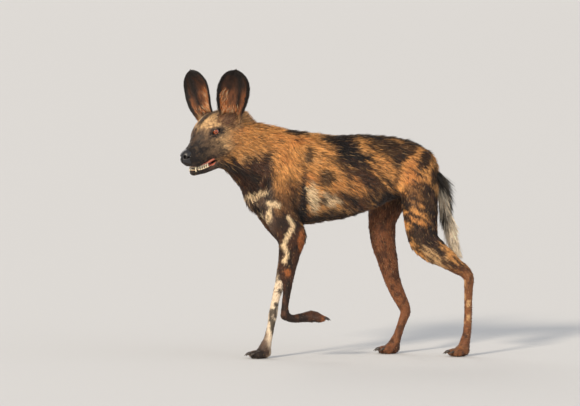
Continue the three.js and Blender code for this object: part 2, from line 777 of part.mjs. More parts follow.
function head() {
  let shape = headShape;
  for (const side of [-1, 1]) shape = shape.add(lidRing(side)).add(lip(MOUTH_UPPER.slice(0, 6), side, 3));
  const open = [...MOUTH_UPPER, [150, -66], ...jawFloor.slice(1), [JAW_BACK[0] - JOINT_GAP, JAW_BACK[1]]];
  open.push([MOUTH_UPPER[0][0] - JOINT_GAP, MOUTH_UPPER[0][1]]);
  shape = shape.subtract(mouthPrism(open));
  for (const side of [-1, 1]) {
    shape = shape.subtract(eyeBall(side, EYE_RADIUS + JOINT_GAP)).subtract(eyeOpening(side));
  }
  shape = shape.subtract(nosePrism(JOINT_GAP));
  shape = shape.add(wasm.Manifold.union(teeth(false)).subtract(mouthPrism(lowerOutline(1))));
  for (const [ear, side] of [[EAR_LEFT, 1], [EAR_RIGHT, -1]]) {
    shape = shape.subtract(beyond(earCut(ear, side), JOINT_GAP / 2).intersect(earNear(side)));
  }
  return largest(shape);
}

const lowerOutline = (rise) => [
  ...MOUTH_LOWER.map(([a, c]) => [a, c + rise]), [150, -81 + rise], [150, -150], JAW_BACK,
];

function lowerJaw() {
  let shape = headShape;
  for (const side of [-1, 1]) shape = shape.add(lip(MOUTH_LOWER.slice(0, 6), side, 2.6));
  shape = shape.intersect(mouthPrism(lowerOutline(0)));
  return largest(shape);
}

function tongue() {
  const flat = new THREE.SphereGeometry(1, 14, 8).scale(34, 15, 5).rotateY(0.06);
  flat.translate(60, 0, -85);
  const inner = [
    ...MOUTH_UPPER.slice(1).map(([a, c]) => [a, c - 0.8]), [150, -68], [150, -79],
    ...MOUTH_LOWER.slice(1).map(([a, c]) => [a, c + 0.5]).reverse(),
  ];
  const shape = fromGeometry(flat.applyMatrix4(HEAD)).intersect(mouthPrism(inner));
  return largest(shape.subtract(wasm.Manifold.union(teethRoom())));
}

// Room round each upper tooth, so that the tongue stays clear of the row.
function teethRoom() {
  const made = [];
  for (const side of [-1, 1]) {
    const box = new THREE.BoxGeometry(80, 20, 40).translate(68, side * 26, -84);
    made.push(fromGeometry(box.applyMatrix4(HEAD)));
  }
  return made;
}

function nose() {
  let shape = body((p) => headDistance(p), [-510, -110, 560], [-430, -5, 650], CELL.nose);
  shape = shape.intersect(nosePrism(0));
  for (const side of [-1, 1]) {
    const hole = new THREE.SphereGeometry(1, 10, 8).scale(9, 4.2, 5.5).rotateZ(side * 0.5);
    hole.translate(121, side * 9.5, -35);
    shape = shape.subtract(fromGeometry(hole.applyMatrix4(HEAD)));
  }
  return largest(shape);
}

// One point of the ear's leaf: across from -1 to 1, along from 0 at the root to 1 at the tip.
function earPoint(across, along, length) {
  const wrap = THREE.MathUtils.lerp(2.7, 1.15, THREE.MathUtils.smoothstep(along, 0, 0.75));
  const round = Math.sqrt(Math.max(0, 1 - Math.max(0, (along - 0.5) / 0.5) ** 2.3));
  const full = EAR_WIDTH * (0.8 + 0.2 * THREE.MathUtils.smoothstep(along, 0, 0.45));
  const half = full * Math.max(round, 0.05);
  const radius = (full * 2) / wrap;
  const angle = (across * half) / radius;
  const back = 8 + 10 * along;
  return new THREE.Vector3(
    -Math.cos(angle) * radius + radius * 0.62 + back - 12,
    Math.sin(angle) * radius,
    along * length,
  );
}

function ear(which, side) {
  const frame = earFrame(which, side);
  const [columns, rows] = EAR_STEPS;
  const vertices = [];
  const spot = (i, j) => {
    const across = (2 * i) / columns - 1;
    return earPoint(across, Math.sin((j / rows) * Math.PI * 0.5), frame.length);
  };
  for (const layer of [1, -1]) {
    for (let j = 0; j <= rows; j += 1) {
      for (let i = 0; i <= columns; i += 1) {
        const p = spot(i, j);
        const du = spot(Math.min(i + 1, columns), j).sub(spot(Math.max(i - 1, 0), j));
        const dv = spot(i, Math.min(j + 1, rows)).sub(spot(i, Math.max(j - 1, 0)));
        const normal = new THREE.Vector3().crossVectors(du, dv).normalize();
        const half = (EAR_THICK * (1.35 - 0.6 * (j / rows))) / 2;
        p.addScaledVector(normal, -layer * half).applyMatrix4(frame.matrix).applyMatrix4(HEAD);
        vertices.push(p.x, p.y, p.z);
      }
    }
  }
  const wide = columns + 1;
  const back = wide * (rows + 1);
  const faces = [];
  for (let j = 0; j < rows; j += 1) {
    for (let i = 0; i < columns; i += 1) {
      const a = j * wide + i;
      faces.push(a, a + 1, a + wide + 1, a, a + wide + 1, a + wide);
      faces.push(back + a, back + a + wide + 1, back + a + 1, back + a, back + a + wide, back + a + wide + 1);
    }
  }
  const rim = [];
  for (let i = 0; i < columns; i += 1) rim.push(i);
  for (let j = 0; j < rows; j += 1) rim.push(j * wide + columns);
  for (let i = columns; i > 0; i -= 1) rim.push(rows * wide + i);
  for (let j = rows; j > 0; j -= 1) rim.push(j * wide);
  rim.forEach((a, k) => {
    const b = rim[(k + 1) % rim.length];
    faces.push(a, back + a, back + b, a, back + b, b);
  });
  if (signedVolume(vertices, faces) < 0) {
    for (let i = 0; i < faces.length; i += 3) [faces[i + 1], faces[i + 2]] = [faces[i + 2], faces[i + 1]];
  }
  const leaf = solid(vertices, faces);
  const root = new THREE.SphereGeometry(1, 14, 10).scale(20, 34, 22);
  root.translate(-8, 0, frame.length * EAR_START - 8);
  const bowl = fromGeometry(root.applyMatrix4(frame.matrix).applyMatrix4(HEAD));
  return largest(after(leaf.add(bowl), earCut(which, side)));
}

function claws(foot) {
  return toes(foot).map((toe) => {
    const cone = new THREE.ConeGeometry(3.6, CLAW_LENGTH, 6);
    cone.rotateZ((-foot.way * Math.PI) / 2).rotateY(foot.way * 0.3);
    const front = toe.at[0] + foot.way * (TOE_SIZE[0] + 2);
    cone.translate(front, toe.at[1], toe.at[2] + (foot.lift ? -3 : 2));
    return fromGeometry(cone);
  });
}

function limb(low, high, cell, foot) {
  let shape = body(bodyDistance, low, high, cell);
  if (foot) shape = shape.add(wasm.Manifold.union(claws(foot)));
  return shape.subtract(beyond(floorCut));
}

const foreTop = (shape) => after(shape, cut(CUT_ELBOW));
const hindTop = (shape) => after(shape, cut(CUT_THIGH));
const leftOf = (shape) => before(shape, middleCut);
const rightOf = (shape) => after(shape, middleCut);

function forelegLeft() {
  const shape = limb([-215, -125, 130], [-50, 0, 420], CELL.leg);
  return largest(leftOf(before(foreTop(shape), CUT_WRIST_LEFT)));
}

function forefootLeft() {
  const shape = limb([-180, -108, 86], [-8, -32, 186], CELL.foot, FEET[3]);
  return largest(after(shape, CUT_WRIST_LEFT));
}

function forelegRight() {
  const shape = limb([-205, -8, 110], [-40, 125, 420], CELL.leg);
  return largest(rightOf(before(foreTop(shape), CUT_WRIST_RIGHT)));
}

function forefootRight() {
  const shape = limb([-262, -40, -16], [-132, 52, 176], CELL.foot, FEET[0]);
  return largest(after(shape, CUT_WRIST_RIGHT));
}

function hindlegLeft() {
  const shape = limb([195, -135, 210], [445, 20, 480], CELL.leg);
  return largest(leftOf(before(hindTop(shape), CUT_HOCK_LEFT)));
}

function hindfootLeft() {
  const shape = limb([330, -122, -16], [455, -40, 300], CELL.foot, FEET[1]);
  return largest(after(shape, CUT_HOCK_LEFT));
}

function hindlegRight() {
  const shape = limb([125, -20, 110], [330, 135, 480], CELL.leg);
  return largest(rightOf(before(hindTop(shape), CUT_HOCK_RIGHT)));
}

function hindfootRight() {
  const shape = limb([160, 34, -16], [305, 118, 200], CELL.foot, FEET[2]);
  return largest(after(shape, CUT_HOCK_RIGHT));
}

function tailDock() {
  const field = (p) => blend(
    chainDistance(tailChain, p.x, p.y, p.z), chainDistance(brushChain, p.x, p.y, p.z), 8,
  );
  let shape = body(field, [270, -45, 440], [410, 45, 650], CELL.tail);
  shape = after(shape, CUT_DOCK);
  return largest(before(shape, CUT_BRUSH));
}

function tailBrush() {
  const field = (p) => blend(
    chainDistance(tailChain, p.x, p.y, p.z), chainDistance(brushChain, p.x, p.y, p.z), 8,
  );
  const core = body(field, [320, -55, 290], [430, 45, 540], CELL.brush);
  const random = seededRandom(SEED + 1);
  const path = new THREE.CatmullRomCurve3(BRUSH.map(vec));
  const locks = [];
  for (let row = 0; row < TAIL_LOCKS.rows; row += 1) {
    const t = (row / TAIL_LOCKS.rows) * 0.86;
    const at = path.getPointAt(t);
    const down = path.getTangentAt(t);
    const side = new THREE.Vector3(0, 1, 0);
    const rear = new THREE.Vector3().crossVectors(side, down).normalize();
    for (let k = 0; k < TAIL_LOCKS.across; k += 1) {
      const angle = ((k + 0.5 * (row % 2) + 0.4 * random()) / TAIL_LOCKS.across) * 2 * Math.PI;
      const out = rear.clone().multiplyScalar(Math.cos(angle)).addScaledVector(side, Math.sin(angle));
      const root = surfaceAlong(field, at, out, 60).addScaledVector(out, -TAIL_LOCKS.sink);
      const along = down.clone().addScaledVector(out, 0.3).normalize();
      const length = TAIL_LOCKS.length * (0.8 + 0.3 * random()) * (1 - 0.25 * t);
      locks.push(lock(root, along, out, length, TAIL_LOCKS.width, TAIL_LOCKS.thick));
    }
  }
  return largest(after(core.add(wasm.Manifold.union(locks)), CUT_BRUSH));
}

const model = new THREE.Group();
model.position.set(-CENTRE_X, -CENTRE_Y, 0);

function place(name, shape, colour) {
  const material = new THREE.MeshStandardMaterial({ ...COLOURS[colour], metalness: 0 });
  const mesh = new THREE.Mesh(toGeometry(shape), material);
  mesh.name = name;
  model.add(mesh);
}

place('torso', torso(), 'gold');
place('neck', neck(), 'gold');
place('head', head(), 'muzzle');
place('lower_jaw', lowerJaw(), 'muzzle');
place('tongue', tongue(), 'tongue');
place('nose', nose(), 'nose');
place('ear_left', ear(EAR_LEFT, 1), 'dark');
place('ear_right', ear(EAR_RIGHT, -1), 'dark');
place('eye_left', eyeBall(1, EYE_RADIUS), 'eye');
place('eye_right', eyeBall(-1, EYE_RADIUS), 'eye');
place('foreleg_left', forelegLeft(), 'dark');
place('forefoot_left', forefootLeft(), 'dark');
place('foreleg_right', forelegRight(), 'dark');
place('forefoot_right', forefootRight(), 'cream');
place('hindleg_left', hindlegLeft(), 'gold');
place('hindfoot_left', hindfootLeft(), 'brown');
place('hindleg_right', hindlegRight(), 'brown');
place('hindfoot_right', hindfootRight(), 'brown');
place('tail', tailDock(), 'dark');
place('tail_brush', tailBrush(), 'cream');

export default model;
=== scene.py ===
"""African wild dog, still and life-size, in a trotting pose with its left foreleg raised.

The body is one smooth field made from named stations, in millimetres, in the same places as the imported
solids. Skin, ears, coat, eyes, nose, mouth, teeth and claws are built on it, in metres, round the frame.
"""

from __future__ import annotations

import logging
import math
from collections.abc import Callable
from dataclasses import dataclass, field
from enum import Enum, IntEnum
from math import cos, pi, radians, sin

import bpy
import numpy as np
from bpy.types import Material, Node, NodeSocket, NodeTree, Object
from mathutils import Matrix, Vector
from numpy import arange, array, asarray, clip, concatenate, interp, maximum, minimum, stack, zeros
from numpy import ndarray as Array
from numpy.linalg import norm
from numpy.random import Generator, default_rng

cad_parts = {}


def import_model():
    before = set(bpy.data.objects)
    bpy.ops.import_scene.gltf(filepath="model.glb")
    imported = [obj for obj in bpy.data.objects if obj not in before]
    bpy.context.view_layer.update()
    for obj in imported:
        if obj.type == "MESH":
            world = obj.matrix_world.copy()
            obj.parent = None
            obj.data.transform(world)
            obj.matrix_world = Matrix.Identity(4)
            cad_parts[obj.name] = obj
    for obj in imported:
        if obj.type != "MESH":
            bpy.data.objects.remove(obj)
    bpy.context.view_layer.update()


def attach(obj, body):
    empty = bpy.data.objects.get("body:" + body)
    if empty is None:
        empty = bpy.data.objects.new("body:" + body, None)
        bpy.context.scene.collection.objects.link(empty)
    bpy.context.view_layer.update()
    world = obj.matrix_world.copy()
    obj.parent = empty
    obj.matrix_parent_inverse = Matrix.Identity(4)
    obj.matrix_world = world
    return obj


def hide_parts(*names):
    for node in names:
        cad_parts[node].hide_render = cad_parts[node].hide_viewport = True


LOG = logging.getLogger("wild_dog")
Field = Callable[[Array], Array]

MM = 0.001
CENTRE = array([-16.3, -0.9, 0.0])
FAR = 1.0e4
CURVE_STEPS = 3

BLEND_LIMB = 26.0
BLEND_HEAD = 16.0
BLEND_TOE = 6.0

# Body stations: x, y, z of the middle, then half-height and half-width of the section.
TORSO = [
    (-205, 0, 520, 92, 62), (-150, 0, 528, 145, 84), (-70, 0, 538, 142, 97), (20, 0, 539, 131, 100),
    (102, 0, 552, 120, 92), (170, 0, 564, 104, 84), (230, 0, 569, 88, 80), (280, 0, 567, 66, 62),
    (305, 0, 562, 48, 42),
]
NECK = [
    (-130, 0, 572, 102, 78), (-190, -2, 600, 102, 74), (-240, -8, 621, 94, 66),
    (-285, -15, 636, 80, 62), (-320, -20, 650, 70, 60),
]
THROAT = [(-322, -22, 602, 24, 34), (-286, -15, 576, 24, 39), (-246, -7, 549, 26, 43), (-210, 0, 512, 30, 46)]
BREAST_AT = (-205, 0, 478)
BREAST_SIZE = (32, 44, 42)
FORELEG_LEFT = [
    (-125, -50, 630, 40, 26), (-160, -64, 540, 54, 34), (-176, -70, 462, 52, 38), (-152, -75, 410, 51, 36),
    (-130, -78, 368, 48, 33), (-133, -77, 340, 40, 29), (-137, -76, 312, 33, 26), (-145, -75, 262, 27, 22),
    (-142, -74, 228, 17, 17), (-145, -73, 195, 13.5, 14.5), (-150, -72, 160, 12.5, 14),
    (-149, -71, 136, 15, 16),
]
FOREFOOT_LEFT = [
    (-149, -71, 132, 15, 16), (-128, -70, 123, 14, 17), (-98, -69, 125, 16, 20), (-68, -68, 128, 20, 25),
    (-54, -68, 127, 18, 23),
]
FORELEG_RIGHT = [
    (-125, 50, 630, 40, 26), (-154, 64, 540, 52, 34), (-164, 68, 462, 50, 38), (-134, 70, 410, 48, 35),
    (-102, 64, 362, 42, 31), (-106, 53, 320, 31, 26), (-122, 41, 265, 23, 21), (-140, 30, 215, 16, 17),
    (-155, 22, 168, 13.5, 15), (-163, 17, 130, 15.5, 17), (-171, 12, 95, 13, 15.5), (-181, 8, 58, 14.5, 18),
    (-190, 6, 34, 19, 22),
]
HINDLEG_LEFT = [
    (250, -42, 586, 62, 30), (268, -58, 520, 62, 40), (270, -66, 450, 58, 41), (272, -72, 400, 53, 39),
    (280, -76, 352, 48, 35), (308, -78, 322, 42, 31), (345, -79, 298, 33, 24), (380, -80, 272, 25, 18),
    (405, -80, 256, 21, 16), (419, -80, 236, 18, 15), (419, -80, 205, 15.5, 13.5), (418, -80, 155, 14, 13),
    (417, -80, 110, 14, 13.5), (414, -80, 70, 14.5, 15.5), (406, -80, 36, 18, 21),
]
HINDLEG_RIGHT = [
    (242, 42, 586, 62, 30), (236, 60, 520, 66, 40), (205, 68, 455, 58, 41), (193, 72, 400, 46, 38),
    (194, 74, 368, 43, 35), (197, 75, 338, 40, 32), (210, 75, 285, 33, 26), (223, 75, 231, 27, 20),
    (241, 75, 185, 24, 17), (259, 75, 150, 21, 16), (267, 75, 127, 18, 16), (261, 75, 106, 16, 14.5),
    (252, 75, 82, 14.5, 14), (243, 75, 56, 15, 16), (233, 75, 34, 18, 21),
]
TAIL = [
    (298, 0, 590, 24, 23), (322, 0, 566, 21, 20), (343, -2, 534, 18, 18), (356, -4, 500, 16, 16),
    (363, -6, 462, 15, 15),
]
BRUSH = [
    (360, -5, 480, 15, 15), (366, -7, 440, 17, 17), (376, -9, 400, 18, 18), (386, -11, 358, 14, 14),
    (394, -13, 330, 7, 7),
]

# The head has a frame of its own: forward along the muzzle, left, and up, from between the eyes.
HEAD_AT = array([-369.0, -28.0, 676.0])
HEAD_YAW = radians(27)
HEAD_PITCH = radians(19)
SKULL = [
    (-95, 0, -19, 63, 60), (-55, 0, -17, 73, 66), (-20, 0, -20, 78, 64), (8, 0, -21, 69, 53),
    (30, 0, -28, 54, 42), (50, 0, -34, 43, 36), (75, 0, -39, 35, 30), (98, 0, -40, 28, 26),
    (107, 0, -39, 22, 21.5),
]
JAW = [
    (-25, 0, -77, 26, 46), (15, 0, -86, 20, 37), (54, 0, -91, 14, 27), (80, 0, -89, 12, 21),
    (96, 0, -87, 11, 15.5),
]
CHEEK = ((-14, 40, -40), (44, 29, 40))
BROW = ((3, 31, 18), (21, 18, 12))
NOSE = ((107, 0, -28), (16, 18, 15))
WHISKER_PAD = ((83, 18, -52), (25, 12, 19))
EYE_AT = (9.0, 41.0, 11.0)
EYE_LOOK = (0.62, 0.78, 0.06)
EYE_RADIUS = 12.0
EYE_DEPTH = 8.5
EYE_OPENING = (10.5, 5.2)
MOUTH_UPPER = [(6, -70.6), (22, -71.6), (40, -74), (60, -77), (80, -76.5), (99, -69), (114, -62), (150, -60)]
MOUTH_LOWER = [(6, -71), (22, -77.5), (40, -81), (60, -84), (80, -83.5), (99, -79.5), (114, -77), (150, -77)]
MOUTH_CORNER = 6.0

EAR_AT = (-46.0, 48.0, 22.0)
EAR_WIDTH = 52.0
EAR_THICK = 4.5

TOE_SIZE = (18.0, 9.5, 13.5)
TOE_SPREAD = (9.0, 22.0)
TOE_SET_BACK = 9.0
PAD_SIZE = (26.0, 23.0, 20.0)


def unit(v: Array) -> Array:
    """Return vectors at length one, and zero vectors as they are."""
    return v / maximum(norm(v, axis=-1, keepdims=True), 1e-9)


def smooth(low: float, high: float, x: Array) -> Array:
    """Ease from 0 at low to 1 at high, which may be below low."""
    t = clip((x - low) / (high - low), 0.0, 1.0)
    return t * t * (3.0 - 2.0 * t)


def blend(a: Array, b: Array, k: float) -> Array:
    """Join two distance fields with a rounded valley of width k."""
    h = maximum(k - np.abs(a - b), 0.0) / k
    return minimum(a, b) - h * h * k / 4.0


def carve(a: Array, b: Array, k: float) -> Array:
    """Cut the field b out of the field a, with an edge rounded by k."""
    return -blend(-a, b, k)


def ellipsoid(p: Array, size: tuple[float, float, float]) -> Array:
    """Return about how far points are from an ellipsoid round the origin.

    Args:
        p: Points, one in each row.
        size: The three half-axes.

    Returns:
        Distances, negative inside.
    """
    s = asarray(size, float)
    k0 = norm(p / s, axis=1)
    k1 = norm(p / (s * s), axis=1)
    return np.where(k1 > 1e-9, k0 * (k0 - 1.0) / maximum(k1, 1e-9), -s.min())


def lump(p: Array, shape: tuple, mirrored: bool = False) -> Array:
    """Distance from an ellipsoid given as its middle and half-axes, on both sides if mirrored."""
    q = p.copy()
    if mirrored:
        q[:, 1] = np.abs(q[:, 1])
    return ellipsoid(q - asarray(shape[0], float), shape[1])


def hash_noise(cell: Array, seed: int) -> Array:
    """Give each lattice cell its own number.

    Args:
        cell: Whole numbers, three in each row.
        seed: Which set of numbers.

    Returns:
        Values from -1 to 1.
    """
    c = cell.astype(np.int64)
    n = (c[:, 0] * 374761393 + c[:, 1] * 668265263 + c[:, 2] * 1440662683 + seed * 974711) & 0xFFFFFFFF
    n = ((n ^ (n >> 13)) * 1274126177) & 0xFFFFFFFF
    return ((n ^ (n >> 16)) & 0xFFFF) / 32767.5 - 1.0


def noise(p: Array, size: float | tuple, seed: int) -> Array:
    """Smooth random field.

    Args:
        p: Points, one in each row.
        size: The width of one bump, or one width for each axis.
        seed: Which field.

    Returns:
        Values from -1 to 1.
    """
    q = p / asarray(size, float)
    base = np.floor(q)
    f = q - base
    f = f * f * (3 - 2 * f)
    total = zeros(len(p))
    for corner in range(8):
        step = array([corner & 1, (corner >> 1) & 1, corner >> 2])
        weight = np.prod(np.where(step, f, 1 - f), axis=1)
        total += weight * hash_noise(base + step, seed)
    return total


def layered(p: Array, size: float | tuple, seed: int, layers: int = 3) -> Array:
    """Add layers of noise, each half as wide and half as strong as the last."""
    s = asarray(size, float)
    total = zeros(len(p))
    for k in range(layers):
        total += noise(p, s / 2**k, seed + 17 * k) / 2**k
    return total / 1.6


class Chain:
    """A row of body stations, smoothed into short segments with elliptical sections."""

    def __init__(self, stations: list[tuple]) -> None:
        """Build the segments.

        Args:
            stations: Middle, half-height and half-width of each section.
        """
        s = asarray(stations, float)
        samples = [self._sample(s, i) for i in range((len(s) - 1) * CURVE_STEPS + 1)]
        at = array([q[:3] for q in samples])
        self.start, self.end = at[:-1], at[1:]
        self.high = array([q[3] for q in samples])
        self.wide = array([q[4] for q in samples])
        self.length = norm(self.end - self.start, axis=1)
        self.along = unit(self.end - self.start)
        self.side = unit(array([0.0, 1.0, 0.0]) - self.along * self.along[:, 1:2])
        self.rise = np.cross(self.along, self.side)
        self.run = concatenate([[0.0], np.cumsum(self.length)])
        reach = max(self.high.max(), self.wide.max())
        self.low, self.top = at.min(0) - reach, at.max(0) + reach

    @staticmethod
    def _sample(s: Array, i: int) -> Array:
        """Return one smoothed station.

        Args:
            s: The stations.
            i: Which sample.

        Returns:
            Its middle, half-height and half-width.
        """
        last = len(s) - 1
        k = min(i // CURVE_STEPS, last - 1)
        t = i / CURVE_STEPS - k
        points = s[:, :3]
        p1, p2 = points[k], points[k + 1]
        p0 = points[k - 1] if k > 0 else 2 * p1 - p2
        p3 = points[k + 2] if k + 2 <= last else 2 * p2 - p1
        d0, d1, d2 = (max(norm(b - a) ** 0.5, 1e-4) for a, b in ((p0, p1), (p1, p2), (p2, p3)))
        t1 = ((p1 - p0) / d0 - (p2 - p0) / (d0 + d1) + (p2 - p1) / d1) * d1
        t2 = ((p2 - p1) / d1 - (p3 - p1) / (d1 + d2) + (p3 - p2) / d2) * d1
        at = p1 + t1 * t + (-3 * p1 + 3 * p2 - 2 * t1 - t2) * t**2 + (2 * p1 - 2 * p2 + t1 + t2) * t**3
        mix = 0.5 * (t + t * t * (3 - 2 * t))
        return concatenate([at, s[k, 3:] * (1 - mix) + s[k + 1, 3:] * mix])

    def distance(self, p: Array, margin: float = 60.0) -> Array:
        """Measure points against the chain.

        Args:
            p: Points, one in each row.
            margin: How far round the chain the result has to be true.

        Returns:
            Distances, negative inside, and at least the margin far away.
        """
        out = norm(maximum(maximum(self.low - p, p - self.top), 0.0), axis=1) + margin
        near = np.all((p > self.low - margin) & (p < self.top + margin), axis=1)
        q = p[near]
        least = np.full(len(q), FAR)
        for k in range(len(self.length)):
            least = minimum(least, self._segment(q, k))
        out[near] = least
        return out

    def _segment(self, q: Array, k: int) -> Array:
        """Distance from one segment."""
        d = q - self.start[k]
        run = d @ self.along[k]
        t = clip(run / self.length[k], 0.0, 1.0)
        high = self.high[k] + (self.high[k + 1] - self.high[k]) * t
        wide = self.wide[k] + (self.wide[k + 1] - self.wide[k]) * t
        end = minimum(high, wide)
        e = run - t * self.length[k]
        n = d @ self.rise[k]
        w = d @ self.side[k]
        k0 = np.sqrt((e / end) ** 2 + (n / high) ** 2 + (w / wide) ** 2)
        k1 = np.sqrt((e / end**2) ** 2 + (n / high**2) ** 2 + (w / wide**2) ** 2)
        return np.where(k1 > 1e-9, k0 * (k0 - 1.0) / maximum(k1, 1e-9), -end)

    def coordinates(self, p: Array) -> tuple[Array, Array, Array]:
        """Find where points lie on the chain.

        Args:
            p: Points, one in each row.

        Returns:
            The share of the way along, the turn round the axis from 0 to 1, and the chain's direction there.
        """
        best = np.full(len(p), FAR * FAR)
        share = zeros(len(p))
        turn = zeros(len(p))
        way = zeros((len(p), 3))
        ends = concatenate([self.along[:1], self.along[:-1] + self.along[1:], self.along[-1:]])
        ends = unit(ends)
        for k in range(len(self.length)):
            d = p - self.start[k]
            t = clip((d @ self.along[k]) / self.length[k], 0.0, 1.0)
            off = d - self.along[k] * (t * self.length[k])[:, None]
            gap = np.einsum("ij,ij->i", off, off)
            nearer = gap < best
            best = np.where(nearer, gap, best)
            share = np.where(nearer, (self.run[k] + t * self.length[k]) / self.run[-1], share)
            angle = np.arctan2(d @ self.side[k], d @ self.rise[k]) / (2 * pi) + 0.5
            turn = np.where(nearer, angle, turn)
            tangent = ends[k] * (1 - t)[:, None] + ends[k + 1] * t[:, None]
            way = np.where(nearer[:, None], tangent, way)
        return share, turn, way


def head_basis() -> Array:
    """Return the head's forward, left and up directions as rows."""
    cp, sp = cos(HEAD_PITCH), sin(HEAD_PITCH)
    cy, sy = cos(HEAD_YAW), sin(HEAD_YAW)
    forward = array([-cy * cp, -sy * cp, -sp])
    left = array([sy, -cy, 0.0])
    return array([forward, left, np.cross(forward, left)])


HEAD = head_basis()


def to_head(p: Array) -> Array:
    """Turn body points into the head's frame."""
    return (p - HEAD_AT) @ HEAD.T


def from_head(q: Array) -> Array:
    """Turn head points into the body's frame."""
    return asarray(q, float) @ HEAD + HEAD_AT


@dataclass(frozen=True)
class EarPlace:
    """Where one ear stands on the head."""

    side: int
    axis: tuple[float, float, float]
    turn: float

    @property
    def length(self) -> float:
        """How long the ear is."""
        return float(norm(self.axis))

    def basis(self) -> Array:
        """Return the ear's open, across and along directions as rows, in the head's frame."""
        along = unit(asarray(self.axis, float))
        turn = radians(self.turn)
        opening = array([cos(turn), sin(turn), 0.0])
        opening = unit(opening - along * (opening @ along))
        return array([opening, np.cross(along, opening), along])

    def root(self) -> Array:
        """Return the middle of the ear's root in the head's frame."""
        return array([EAR_AT[0], EAR_AT[1] * self.side, EAR_AT[2]])


EARS = {"left": EarPlace(1, (-28, 46, 142), 40), "right": EarPlace(-1, (8, -42, 150), 12)}


def eye_basis(side: int) -> tuple[Array, Array]:
    """Return an eye's frame.

    Args:
        side: 1 for the left eye, -1 for the right one.

    Returns:
        The along, rise and look directions as rows, and the middle of the opening, in the head's frame.
    """
    look = unit(array([EYE_LOOK[0], EYE_LOOK[1] * side, EYE_LOOK[2]]))
    along = unit(np.cross(array([0.1, -0.1 * side, 1.0]), look))
    rise = np.cross(look, along)
    middle = array([EYE_AT[0], EYE_AT[1] * side, EYE_AT[2]]) + look * EYE_DEPTH
    return array([along, rise, look]), middle


@dataclass(frozen=True)
class Foot:
    """One paw: the middle of its pad, the way its toes point along X, and whether it is off the ground."""

    at: tuple[float, float, float]
    way: int
    lifted: bool = False

    def toes(self) -> list[tuple]:
        """Return each toe's middle and half-axes."""
        made = []
        for side in (-1, 1):
            for k, spread in enumerate(TOE_SPREAD):
                reach = PAD_SIZE[0] + 1 - k * TOE_SET_BACK
                drop = -1 if self.lifted else -2
                x, y, z = self.at
                made.append(((x + self.way * reach, y + side * spread, z + drop), TOE_SIZE))
        return made

    def distance(self, p: Array) -> Array:
        """Distance of points from the paw."""
        x, y, z = self.at
        d = np.full(len(p), FAR) if self.lifted else lump(p, ((x, y, z + 3), PAD_SIZE))
        for toe in self.toes():
            d = blend(d, lump(p, toe), BLEND_TOE)
        return d


FEET = {
    "forefoot_right": Foot((-196, 6, 14), -1),
    "hindfoot_left": Foot((398, -80, 14), -1),
    "hindfoot_right": Foot((225, 75, 14), -1),
    "forefoot_left": Foot((-66, -68, 123), 1, True),
}


class Zone(IntEnum):
    """The regions whose hair differs."""

    TORSO = 0
    NECK = 1
    THROAT = 2
    HEAD = 3
    FORE_LEFT = 4
    FORE_RIGHT = 5
    HIND_LEFT = 6
    HIND_RIGHT = 7
    TAIL = 8


